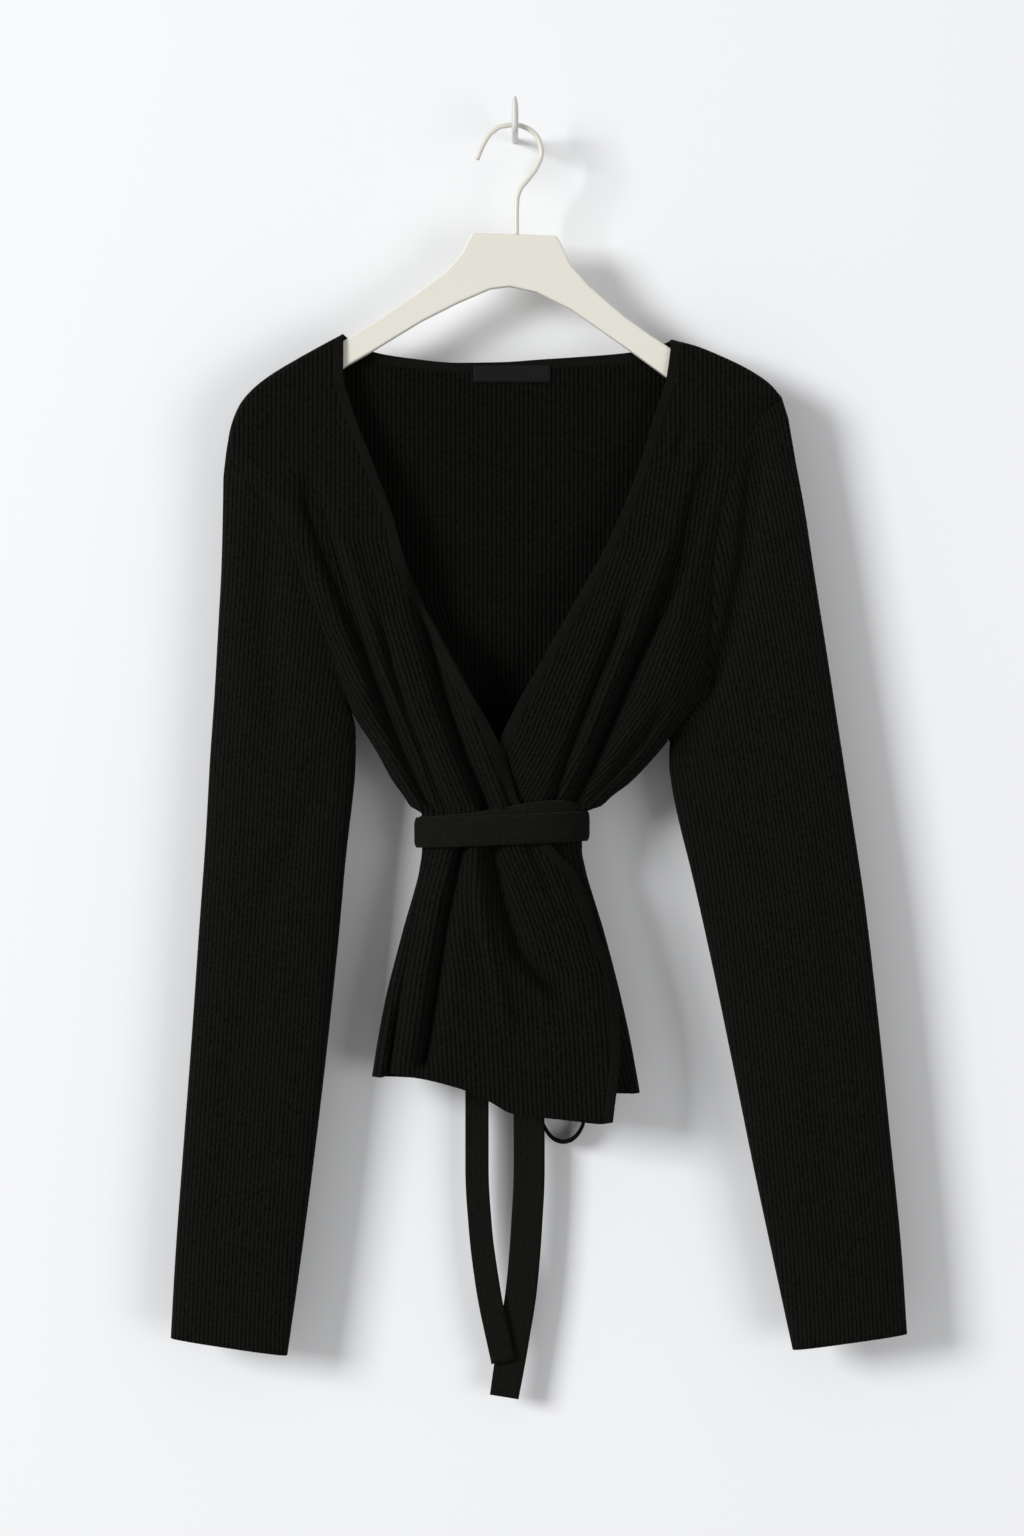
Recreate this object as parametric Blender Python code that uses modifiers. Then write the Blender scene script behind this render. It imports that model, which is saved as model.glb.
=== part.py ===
# Wrap cardigan in black rib knit, tied at the waist, on a flat hanger held by a wall hook.
# Lengths in the tables are millimetres: x to the viewer's right, z up, y away from the viewer,
# measured from the hang point, which is the inside top of the hanger's hook.
# The finished part has its origin where the wall hook meets the wall.
import math

import bmesh
import bpy
import numpy as np
from mathutils import Vector

MM = 0.001
PEG_RADIUS = 2.3
SEAM_GAP = 0.3
WALL_TO_HANGER = 40.0
HANG_POINT = (0.0, -WALL_TO_HANGER, PEG_RADIUS + SEAM_GAP)

KNIT = 2.0
BAND_WIDTH = 7.0
BAND_GAP = 0.42
BAND_EASE = 0.4
BELT_WIDTH = 21.0
BELT_THICK = 1.8
ARM_THICK = 8.0
WIRE_RADIUS = 1.8
UNDERARM = 0.40
OVER_SIDE = 4.4
LAYER = 3.8
FOLD_ROOM = 1.8
SHOULDER_CAP = 7.0

for old in list(bpy.data.objects):
    bpy.data.objects.remove(old, do_unlink=True)

garment = bpy.data.collections.new("wrap_cardigan")
bpy.context.scene.collection.children.link(garment)


# Materials
def material(name, colour, roughness):
    mat = bpy.data.materials.new(name)
    mat.use_nodes = True
    shader = mat.node_tree.nodes["Principled BSDF"]
    shader.inputs["Base Color"].default_value = (*colour, 1.0)
    shader.inputs["Roughness"].default_value = roughness
    shader.inputs["Metallic"].default_value = 0.0
    mat.diffuse_color = (*colour, 1.0)
    return mat


KNIT_BLACK = (0.009, 0.010, 0.009)
CREAM = (0.79, 0.77, 0.69)
WHITE = (0.80, 0.80, 0.79)


# Smooth curve through the rows of a table, with no overshoot between them
def smooth(table, t):
    rows = np.array(table, dtype=float)
    ts = rows[:, 0]
    vs = rows[:, 1:]
    t = min(max(t, ts[0]), ts[-1])
    steps = np.diff(ts)
    slopes = np.diff(vs, axis=0) / steps[:, None]
    tangents = np.zeros_like(vs)
    tangents[0] = slopes[0]
    tangents[-1] = slopes[-1]
    for i in range(1, len(ts) - 1):
        same = slopes[i - 1] * slopes[i] > 0
        total = slopes[i - 1] + slopes[i]
        safe = np.where(same, total, 1.0)
        tangents[i] = np.where(same, 2.0 * slopes[i - 1] * slopes[i] / safe, 0.0)
    i = int(min(np.searchsorted(ts, t, side="right") - 1, len(ts) - 2))
    h = steps[i]
    q = (t - ts[i]) / h
    value = (
        (2 * q**3 - 3 * q**2 + 1) * vs[i]
        + (q**3 - 2 * q**2 + q) * h * tangents[i]
        + (3 * q**2 - 2 * q**3) * vs[i + 1]
        + (q**3 - q**2) * h * tangents[i + 1]
    )
    return value


def step(a, b, v):
    q = min(max((v - a) / (b - a), 0.0), 1.0)
    return q * q * (3.0 - 2.0 * q)


def unit(v):
    v = np.array(v, dtype=float)
    length = np.linalg.norm(v)
    return v / length if length > 1e-9 else v


# How a panel rises from a closed edge: q is the share of the rounding width, p its squareness
def cap(q, p):
    q = min(max(q, 0.0), 1.0)
    return (1.0 - (1.0 - q) ** p) ** (1.0 / p)


# Outlines. t runs down the garment, 0 at the shoulder seam, UNDERARM at the underarm, 1 at the hem.
# Armhole seam, then side seam: t, x, z
OUTER = {
    "right": [
        (0.00, -201.5, -230), (0.05, -188, -249), (0.10, -170, -273), (0.17, -151, -311),
        (0.25, -137, -346), (0.32, -126, -375), (0.40, -115, -406), (0.45, -96.5, -436),
        (0.50, -83.0, -457), (0.535, -73.5, -470), (0.555, -63.8, -478), (0.605, -63.8, -505),
        (0.66, -66, -520), (0.75, -77.4, -562), (0.85, -88, -604), (0.93, -95, -640),
        (1.00, -99, -665),
    ],
    "left": [
        (0.00, 186, -191), (0.05, 171, -206), (0.10, 158, -233), (0.17, 146, -265),
        (0.25, 139, -302), (0.32, 137, -347), (0.36, 134, -388), (0.40, 108, -427),
        (0.45, 90, -446), (0.50, 74, -460), (0.535, 59, -470), (0.555, 45.2, -478),
        (0.605, 45.2, -505), (0.66, 42.5, -520), (0.75, 52, -562), (0.85, 65.5, -604),
        (0.93, 77, -640), (1.00, 85.8, -674),
    ],
}
# Free edge of each front, from the neck point down to the hem corner: t, x, z
EDGE = {
    "right": [
        (0.00, -120, -147), (0.05, -120, -173), (0.10, -114.5, -196), (0.17, -101, -232),
        (0.25, -86, -271), (0.32, -73, -315), (0.40, -50, -361), (0.45, -33, -392),
        (0.50, -10, -435), (0.55, 2.5, -471), (0.605, 25, -502), (0.66, 43.8, -524),
        (0.75, 57.0, -562), (0.85, 71.0, -604), (0.93, 73, -645), (1.00, 68, -695),
    ],
    "left": [
        (0.00, 109.5, -151), (0.05, 106, -176), (0.10, 97, -206), (0.17, 82, -252),
        (0.25, 63, -295), (0.32, 43, -331), (0.40, 15, -380), (0.45, -3, -413),
        (0.50, -16, -444), (0.55, -26, -475), (0.605, -30, -503), (0.66, -30, -524),
        (0.75, -30, -562), (0.85, -30, -604), (0.93, -30, -640), (1.00, -30, -672),
    ],
}
# Shoulder line from the neck point out to the shoulder tip: share of the way, x, z
SHOULDER = {
    "right": [
        (0.00, -120, -147), (0.15, -134, -154.5), (0.35, -152, -164.5), (0.55, -170.3, -175.5),
        (0.70, -182.3, -184.8), (0.82, -191.5, -195.5), (0.92, -198, -211), (1.00, -201.5, -230),
    ],
    "left": [
        (0.00, 109.5, -151), (0.20, 126.1, -155.4), (0.42, 146.2, -163.5), (0.64, 164.3, -172.5),
        (0.84, 177.5, -181.6), (1.00, 186, -191),
    ],
}
# Back neckline between the neck points: share of the way, x, z
NECKLINE = [
    (0.00, -120, -147), (0.09, -100, -158), (0.20, -76, -162.3), (0.35, -40, -165.7),
    (0.48, -10, -165.3), (0.61, 20, -163.3), (0.74, 50, -161.3), (0.87, 80, -158.6),
    (1.00, 109.5, -151),
]
# How far the cloth stands off the hanger's plane: z, front, back
DEPTH = [
    (-900, 20, 13), (-690, 21, 13), (-600, 23, 15), (-530, 25, 19), (-503, 25, 21),
    (-478, 25, 21), (-455, 26, 21), (-400, 24, 17), (-300, 17, 12), (-200, 9.5, 7.5),
    (-160, 6.2, 6.2), (-100, 6.2, 6.2),
]
# Half opening of the armhole, and width and squareness of the rounding at the outer edge:
# t, half opening, width, squareness
ROUNDING = [
    (0.00, 0.0, 8, 2.0), (0.0035, 2.3, 8, 1.8), (0.010, 3.8, 9, 1.5), (0.05, 6.5, 16, 1.15),
    (0.17, 8.0, 22, 1.15), (0.30, 8.0, 24, 1.15), (0.365, 6.5, 24, 1.2), (0.385, 4.6, 24, 1.4),
    (0.396, 2.4, 25, 1.8), (0.40, 0.0, 26, 2.0),
    (0.45, 0.0, 34, 2.0), (0.535, 0.0, 40, 2.0), (0.605, 0.0, 40, 2.0), (0.70, 0.0, 34, 2.0),
    (1.00, 0.0, 24, 2.0),
]
# Folds: panel, depth in, half width, then the path as x, z pairs
FOLDS = [
    ("front_right", 11.0, 9.0, [
        (-146, -250), (-130, -299), (-116, -339), (-96, -389), (-80, -430), (-57, -478),
    ]),
    ("front_right", 4.0, 5.0, [(-96, -350), (-76, -409), (-62, -440), (-47, -478)]),
    ("front_right", 8.0, 8.0, [(-62, -340), (-47, -405), (-33, -442), (-18, -475)]),
    ("front_right", 8.0, 7.0, [(-38, -503), (-49, -556), (-59, -628), (-61, -665)]),
    ("front_right", 6.0, 7.0, [(-13, -503), (-6, -540), (6, -571), (15, -592)]),
    ("front_right", 5.0, 5.0, [(-58, -506), (-69, -545), (-80, -600), (-92, -660)]),
    ("front_left", 3.5, 5.0, [(122, -190), (118, -216), (111, -242)]),
    ("front_left", 11.0, 9.5, [
        (140, -222), (130, -257), (118, -295), (106, -329), (86, -369), (66, -416), (52, -450), (38, -478),
    ]),
    ("back", 5.0, 9.0, [(-110, -330), (-80, -400), (-48, -478)]),
    ("back", 6.0, 8.0, [(-50, -360), (-36, -420), (-22, -478)]),
    ("back", 5.0, 8.0, [(40, -340), (26, -410), (10, -478)]),
    ("back", 6.0, 9.0, [(90, -350), (62, -420), (30, -478)]),
    ("back", 6.0, 8.0, [(-40, -503), (-52, -580), (-60, -660)]),
    ("back", 5.0, 8.0, [(22, -503), (34, -580), (42, -660)]),
]
FOLD_FADE = 14.0
# Heights at which a fold starts or ends under the belt, and below which it runs out through the hem
BELT_HEIGHTS = (-475, -478, -503, -506)
NEAR_HEM = -650

# Rows down the panels and columns across a front, both closer where the cloth turns
ROWS = [
    0, 0.0035, 0.010, 0.02, 0.035, 0.05, 0.075, 0.10, 0.135, 0.17, 0.21, 0.25, 0.29, 0.33, 0.365,
    0.385, 0.396, 0.40, 0.425, 0.45, 0.48, 0.51, 0.535, 0.555, 0.58, 0.605, 0.63, 0.66, 0.70, 0.75, 0.81,
    0.87, 0.935, 1.0,
]
COLUMNS = [0, 0.015, 0.04, 0.08, 0.13, 0.19, 0.26, 0.33, 0.40, 0.48, 0.56, 0.64, 0.72, 0.80, 0.90, 1.0]
NECK_COLUMNS = [
    0.006, 0.014, 0.03, 0.06, 0.12, 0.22, 0.35, 0.48, 0.61, 0.74, 0.86, 0.93, 0.97, 0.986, 0.994,
]


def path_distance(x, z, path):
    here = np.array((x, z))
    best = (1e9, 0.0)
    along = 0.0
    for a, b in zip(path[:-1], path[1:]):
        a = np.array(a, dtype=float)
        b = np.array(b, dtype=float)
        span = b - a
        length = np.linalg.norm(span)
        raw = float(np.dot(here - a, span) / length**2)
        q = min(max(raw, 0.0), 1.0)
        far = np.linalg.norm(here - a - q * span)
        if far < best[0]:
            best = (far, along + q * length)
        along += length
    return best[0], best[1], along


def fold_depth(panel, x, z, spread=1.0):
    total = 0.0
    for name, depth, width, path in FOLDS:
        if name != panel:
            continue
        far, at, length = path_distance(x, z, path)
        first = path[0][1]
        last = path[-1][1]
        fade = 1.0
        if last not in BELT_HEIGHTS and last > NEAR_HEM:
            fade *= step(0, FOLD_FADE, length - at)
        if first not in BELT_HEIGHTS:
            fade *= step(0, 2 * FOLD_FADE, at)
        total += depth * fade * math.exp(-((far / (width * spread)) ** 2))
    return total


def edge_x(side, z):
    rows = [(-row[2], row[1]) for row in EDGE[side]]
    return float(smooth(rows, -z)[0])


def side_x(side, z):
    rows = [(-row[2], row[1]) for row in OUTER[side]]
    return float(smooth(rows, -z)[0])


# The over front's distance from the hanger's plane, away from its armhole and shoulder
def over_front(x, z):
    rows = [(-row[2], row[0]) for row in OUTER["right"]]
    t = float(smooth(rows, -z)[0])
    deep = smooth(DEPTH, z)[0] - fold_depth("front_right", x, z, FOLD_ROOM)
    width = smooth(ROUNDING, t)[1]
    left_reach = x - side_x("right", z)
    right_reach = side_x("left", z) + OVER_SIDE - x
    return deep * cap(left_reach / width, 2.0) * cap(right_reach / (width + 2.0), 2.0)


# Distance of a panel from the hanger's plane at one place.
# reach is the distance from the outer edge, drop the distance below the shoulder line.
def stand_off(panel, t, x, z, reach, drop):
    front, back = smooth(DEPTH, z)
    opening, width, square = smooth(ROUNDING, t)
    deep = back if panel == "back" else front
    if panel == "front_right" and z < -440:
        right_reach = side_x("left", z) + OVER_SIDE - x
        deep = deep * cap(right_reach / (width + 2.0), 2.0)
    folded = fold_depth(panel, x, z) * step(2, 14, reach) * step(4, 30, drop)
    off = opening + max(deep - folded - opening, 0.5) * cap(reach / width, square)
    if panel == "front_left" and z < -380:
        over_edge = edge_x("right", z)
        under = 1.0 - step(over_edge + 6.0, over_edge + 18.0, x)
        below_belt = step(-505, -545, z)
        room = over_front(x, z) - LAYER - 4.0 * below_belt
        off = off * (1.0 - under) + min(off, room) * under
    return off * cap(drop / SHOULDER_CAP, 3.0)


class Panel:
    """One cloth panel: a grid of middle points with the way out from each."""

    def __init__(self, name, points, outward):
        self.name = name
        self.points = points
        self.normals = self.find_normals(outward)

    def find_normals(self, outward):
        p = self.points
        du = np.gradient(p, axis=0)
        dv = np.gradient(p, axis=1)
        n = np.cross(du, dv)
        n /= np.maximum(np.linalg.norm(n, axis=2, keepdims=True), 1e-9)
        middle = n[n.shape[0] // 2, n.shape[1] // 2]
        return n if np.dot(middle, outward) > 0 else -n


def to_world(p):
    return Vector(((p[0] + HANG_POINT[0]) * MM, (p[1] + HANG_POINT[1]) * MM, (p[2] + HANG_POINT[2]) * MM))


def add_object(name, bm, mat):
    bmesh.ops.recalc_face_normals(bm, faces=bm.faces)
    mesh = bpy.data.meshes.new(name)
    bm.to_mesh(mesh)
    bm.free()
    mesh.materials.append(mat)
    for poly in mesh.polygons:
        poly.use_smooth = True
    obj = bpy.data.objects.new(name, mesh)
    garment.objects.link(obj)
    return obj


# Closed wall from a grid of middle points: both faces and the rims all round.
# keep is -1 for a wall that stays in front of the hanger's plane, 1 for one behind it.
def wall(name, points, normals, thick, mat, ring=False, keep=0):
    rows, cols = points.shape[:2]
    bm = bmesh.new()
    faces = []
    for side in (0.5, -0.5):
        grid = points + normals * thick * side
        if keep:
            grid[:, :, 1] = keep * np.maximum(grid[:, :, 1] * keep, SEAM_GAP / 2)
        faces.append([[bm.verts.new(to_world(grid[i, j])) for j in range(cols)] for i in range(rows)])
    outer, inner = faces
    across = cols if ring else cols - 1
    for i in range(rows - 1):
        for j in range(across):
            k = (j + 1) % cols
            bm.faces.new((outer[i][j], outer[i][k], outer[i + 1][k], outer[i + 1][j]))
            bm.faces.new((inner[i][j], inner[i + 1][j], inner[i + 1][k], inner[i][k]))
    for j in range(across):
        k = (j + 1) % cols
        bm.faces.new((outer[0][k], outer[0][j], inner[0][j], inner[0][k]))
        bm.faces.new((outer[-1][j], outer[-1][k], inner[-1][k], inner[-1][j]))
    if not ring:
        for i in range(rows - 1):
            bm.faces.new((outer[i][0], outer[i + 1][0], inner[i + 1][0], inner[i][0]))
            bm.faces.new((outer[i + 1][-1], outer[i][-1], inner[i][-1], inner[i + 1][-1]))
    return add_object(name, bm, mat)


# Way into the cloth from a front's free edge, square to it in the hanger's plane
def into_cloth(side, t):
    a = smooth(EDGE[side], max(t - 0.01, 0.0))
    b = smooth(EDGE[side], min(t + 0.01, 1.0))
    down = unit(b - a)
    sign = 1.0 if side == "right" else -1.0
    square = np.array((down[1], -down[0])) * sign
    if t >= 0.04:
        return square
    line = SHOULDER[side]
    along = unit(np.array(line[1][1:], dtype=float) - np.array(line[0][1:], dtype=float))
    return unit(along * (1.0 - t / 0.04) + square * (t / 0.04))


# Way into the cloth from the back neckline, turning to the shoulder line at both neck points
def neck_way(q):
    tangent = unit(smooth(NECKLINE, min(q + 0.02, 1.0)) - smooth(NECKLINE, max(q - 0.02, 0.0)))
    square = np.array((tangent[1], -tangent[0]))
    near = min(q, 1.0 - q) / 0.09
    if near >= 1.0:
        return square
    line = SHOULDER["right" if q < 0.5 else "left"]
    along = unit(np.array(line[1][1:], dtype=float) - np.array(line[0][1:], dtype=float))
    return unit(along * (1.0 - near) + square * near)


def front_row(side, t):
    edge = smooth(EDGE[side], t)
    inner = edge + into_cloth(side, t) * (BAND_WIDTH + BAND_GAP)
    outer = smooth(OUTER[side], t)
    return edge, inner, outer


def front_place(panel, side, t, here, outer, shoulder):
    reach = float(np.linalg.norm(here - outer))
    drop = float(np.linalg.norm(here - shoulder))
    y = -max(stand_off(panel, t, here[0], here[1], reach, drop), SEAM_GAP / 2)
    return np.array((here[0], y, here[1]))


NECK_SEARCH = 400


# Shoulder line points for the columns of a front, from the tip in to the band
def shoulder_points(side):
    neck_point = np.array(SHOULDER[side][0][1:])
    start = 0.0
    for k in range(NECK_SEARCH):
        start = k / NECK_SEARCH
        if np.linalg.norm(smooth(SHOULDER[side], start) - neck_point) > BAND_WIDTH + BAND_GAP:
            break
    return [smooth(SHOULDER[side], 1.0 - s * (1.0 - start)) for s in COLUMNS]


def front_grid(side):
    panel = "front_" + side
    top = shoulder_points(side)
    rows = []
    for t in ROWS:
        edge, inner, outer = front_row(side, t)
        row = []
        for j, s in enumerate(COLUMNS):
            level = outer * (1.0 - s) + inner * s
            lift = top[j] - (smooth(OUTER[side], 0) * (1.0 - s) + front_row(side, 0)[1] * s)
            here = level + lift * (1.0 - step(0.0, 0.30, t))
            row.append(front_place(panel, side, t, here, outer, top[j]))
        rows.append(row)
    return np.array(rows)


def line_normal(points, k, up):
    a = points[max(k - 1, 0)]
    b = points[min(k + 1, len(points) - 1)]
    d = unit(np.array((b[0] - a[0], b[2] - a[2])))
    n = np.array((-d[1], 0.0, d[0]))
    return n if np.dot(n, up) > 0 else -n


UNDERARM_ROW = ROWS.index(UNDERARM)
HOLE_BLEND = 5.0


# Ways out that the panels and the sleeve share along the armhole, shoulder tip to underarm
def armhole_normals(side, grid):
    edge = grid[: UNDERARM_ROW + 1, 0]
    flat = edge.copy()
    flat[:, 1] = 0
    lengths = np.concatenate([[0], np.cumsum(np.linalg.norm(np.diff(flat, axis=0), axis=1))])
    depth = -edge[:, 1]
    normals = []
    for k in range(len(edge)):
        a = max(k - 1, 0)
        b = min(k + 1, len(edge) - 1)
        along = unit(flat[b] - flat[a])
        rise = (depth[b] - depth[a]) / max(lengths[b] - lengths[a], 1e-6)
        n = unit(-along * rise + np.array((0.0, -1.0, 0.0)))
        normals.append(n)
    normals[0] = unit(-(flat[1] - flat[0]) + np.array((-20.0 if side == "right" else 20.0, 0, 0)) * 0.1)
    last = unit(flat[-1] - flat[-2])
    normals[-1] = last
    return normals


# Fronts
fronts = {}
for side in ("right", "left"):
    fronts[side] = Panel("front_" + side, front_grid(side), np.array((0.0, -1.0, 0.0)))

# Back, with the same rows at its sides and the same columns along both shoulders
top_right = shoulder_points("right")
top_left = shoulder_points("left")
neck_row = [smooth(NECKLINE, q) + neck_way(q) * (BAND_WIDTH + BAND_GAP) for q in NECK_COLUMNS]
neck_drop = [
    min(np.linalg.norm(smooth(NECKLINE, q) - smooth(NECKLINE, end)) for end in (0.0, 1.0))
    for q in NECK_COLUMNS
]
back_top = top_right + neck_row + top_left[::-1]
count = len(back_top)
first_x = back_top[0][0]
last_x = back_top[-1][0]
rows = []
for t in ROWS:
    left_end = smooth(OUTER["right"], t)
    right_end = smooth(OUTER["left"], t)
    row = []
    for j, start in enumerate(back_top):
        share = (start[0] - first_x) / (last_x - first_x)
        chord = back_top[0] * (1 - share) + back_top[-1] * share
        rest = left_end * (1 - share) + right_end * share
        here = rest + (start - chord) * (1.0 - step(0.0, 0.45, t))
        near_right = float(np.linalg.norm(here - left_end))
        near_left = float(np.linalg.norm(here - right_end))
        drop = float(np.linalg.norm(here - start))
        in_neck = len(COLUMNS) <= j < len(COLUMNS) + len(NECK_COLUMNS)
        if in_neck:
            drop += float(neck_drop[j - len(COLUMNS)])
        y = max(stand_off("back", t, here[0], here[1], min(near_right, near_left), drop), SEAM_GAP / 2)
        row.append((here[0], y, here[1]))
    rows.append(row)
back = Panel("back", np.array(rows), np.array((0.0, 1.0, 0.0)))

# Shared ways out along shoulder seams, armholes and side seams
up = np.array((0.0, 0.0, 1.0))
sleeve_start = {}
for side in ("right", "left"):
    front = fronts[side]
    away = np.array((-1.0 if side == "right" else 1.0, 0.0, 0.3))
    hole = armhole_normals(side, front.points)
    for j in range(len(COLUMNS)):
        n = line_normal(front.points[0], j, up + away * 0.5)
        back_j = j if side == "right" else count - 1 - j
        front.normals[0, j] = n
        back.normals[0, back_j] = n
    back_col = 0 if side == "right" else count - 1
    for i in range(len(ROWS)):
        if i <= UNDERARM_ROW:
            n = hole[i]
        else:
            n = line_normal(front.points[:, 0], i, away)
        front.normals[i, 0] = n
        back.normals[i, back_col] = n * np.array((1.0, -1.0, 1.0))
    for i in range(UNDERARM_ROW + 1):
        back.points[i, back_col, 1] = -front.points[i, 0, 1]
        for panel, cols, flip in ((front, range(1, 9), 1.0), (back, range(1, 16), -1.0)):
            for j in cols:
                if panel is back and side == "left":
                    j = count - 1 - j
                start = panel.points[i, 0 if panel is front else back_col]
                near = np.linalg.norm(panel.points[i, j] - start) / HOLE_BLEND
                if near < 1.0 and i > 0:
                    forced = hole[i] * np.array((1.0, flip, 1.0))
                    panel.normals[i, j] = unit(forced * (1.0 - near) + panel.normals[i, j] * near)
    sleeve_start[side] = (front.points[: UNDERARM_ROW + 1, 0].copy(), hole)

knit_front = material("front_rib_knit", KNIT_BLACK, 0.9)
knit_back = material("back_rib_knit", KNIT_BLACK, 0.9)
knit_sleeve = material("sleeve_rib_knit", KNIT_BLACK, 0.9)
knit_band = material("fine_knit_band", KNIT_BLACK, 0.85)
knit_belt = material("fine_knit_belt", KNIT_BLACK, 0.85)
label_cloth = material("woven_label", (0.006, 0.006, 0.006), 0.6)
painted_wood = material("cream_hanger", CREAM, 0.5)
painted_wire = material("cream_wire", CREAM, 0.4)
painted_hook = material("white_hook", WHITE, 0.4)


# Band along both fronts and the back of the neck, as one strip
def band_sections():
    outer_line = []
    inner_line = []
    for side, order in (("right", range(len(ROWS) - 1, -1, -1)), ("left", range(len(ROWS)))):
        part_outer = []
        part_inner = []
        for i in order:
            t = ROWS[i]
            edge, inner, outer = front_row(side, t)
            narrower = BAND_EASE * (1.0 - step(0.0, 0.035, t))
            join = edge + into_cloth(side, t) * (BAND_WIDTH - narrower)
            shoulder = smooth(EDGE[side], 0.0)
            tip = front_place("front_" + side, side, t, edge, outer, shoulder)
            root = front_place("front_" + side, side, t, join, outer, shoulder_points(side)[-1])
            if i == 0:
                tip[1] = 0.0
                root[1] = 0.0
            part_outer.append(tip)
            part_inner.append(root)
        if side == "right":
            outer_line += part_outer
            inner_line += part_inner
            for k, q in enumerate(NECK_COLUMNS):
                here = smooth(NECKLINE, q)
                column = back.points[0, len(COLUMNS) + k]
                join = here + neck_way(q) * BAND_WIDTH
                outer_line.append(np.array((here[0], column[1], here[1])))
                inner_line.append(np.array((join[0], column[1], join[1])))
        else:
            outer_line += part_outer
            inner_line += part_inner
    return np.array(outer_line), np.array(inner_line)


band_tip, band_root = band_sections()
band_grid = np.stack([band_tip, band_root], axis=1)
band_normals = np.zeros_like(band_grid)
for k in range(len(band_tip)):
    a = max(k - 1, 0)
    b = min(k + 1, len(band_tip) - 1)
    n = unit(np.cross(band_tip[b] - band_tip[a] + band_root[b] - band_root[a], band_root[k] - band_tip[k]))
    band_normals[k, :] = n
if band_normals[0, 0, 1] > 0:
    band_normals = -band_normals

for i in range(len(ROWS)):
    fronts["right"].normals[i, -1] = band_normals[len(ROWS) - 1 - i, 0]
    fronts["left"].normals[i, -1] = band_normals[len(ROWS) + len(NECK_COLUMNS) + i, 0]
for k in range(-1, len(NECK_COLUMNS) + 1):
    back.normals[0, len(COLUMNS) + k] = band_normals[len(ROWS) + k, 0]

wall("front_right", fronts["right"].points, fronts["right"].normals, KNIT, knit_front, keep=-1)
wall("front_left", fronts["left"].points, fronts["left"].normals, KNIT, knit_front, keep=-1)
wall("back", back.points, back.normals, KNIT, knit_back, keep=1)
wall("front_band", band_grid, band_normals, KNIT, knit_band)

# Sleeves. Each section runs from the outer to the inner fold:
# outer x, outer z, inner x, inner z, half depth, how much of the armhole's curve it keeps
SLEEVE = {
    "right": [
        (-202.5, -246, -115.0, -411, 8.5, 0.8), (-203.0, -275, -113.4, -417, 9.5, 0.5),
        (-204.0, -310, -111.5, -425, 10.5, 0.25), (-206.0, -350, -109.5, -437, 11.5, 0.0),
        (-208.5, -395, -109.0, -452, 12.0, 0.0), (-212.0, -443, -110.5, -473, 12.0, 0.0),
        (-215.0, -497, -114.5, -507, 12.0, 0.0), (-219.5, -560, -121.5, -567, 11.5, 0.0),
        (-225.0, -640, -131.0, -648, 11.0, 0.0), (-230.5, -715, -140.0, -724, 10.0, 0.0),
        (-236.0, -790, -151.0, -799, 9.0, 0.0), (-239.3, -848, -160.5, -859, 8.0, 0.0),
    ],
    "left": [
        (190.0, -206, 109.5, -431, 8.5, 1.0), (195.0, -235, 109.0, -438, 9.5, 0.8),
        (201.5, -270, 109.5, -446, 10.5, 0.4), (208.0, -312, 111.0, -456, 11.5, 0.0),
        (215.0, -358, 113.5, -470, 12.0, 0.0), (223.5, -415, 118.0, -489, 12.0, 0.0),
        (233.0, -475, 125.5, -521, 12.0, 0.0), (244.0, -545, 139.0, -581, 11.5, 0.0),
        (254.0, -628, 154.5, -656, 11.0, 0.0), (262.0, -705, 170.0, -730, 10.0, 0.0),
        (269.5, -782, 184.0, -797, 9.0, 0.0), (273.5, -845, 196.5, -856, 8.0, 0.0),
    ],
}
SLEEVE_ROUND = 2.7
SLEEVE_CENTRE = 1.5
SLEEVE_GAP = 0.36
TIP_GAP = 0.6


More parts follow.
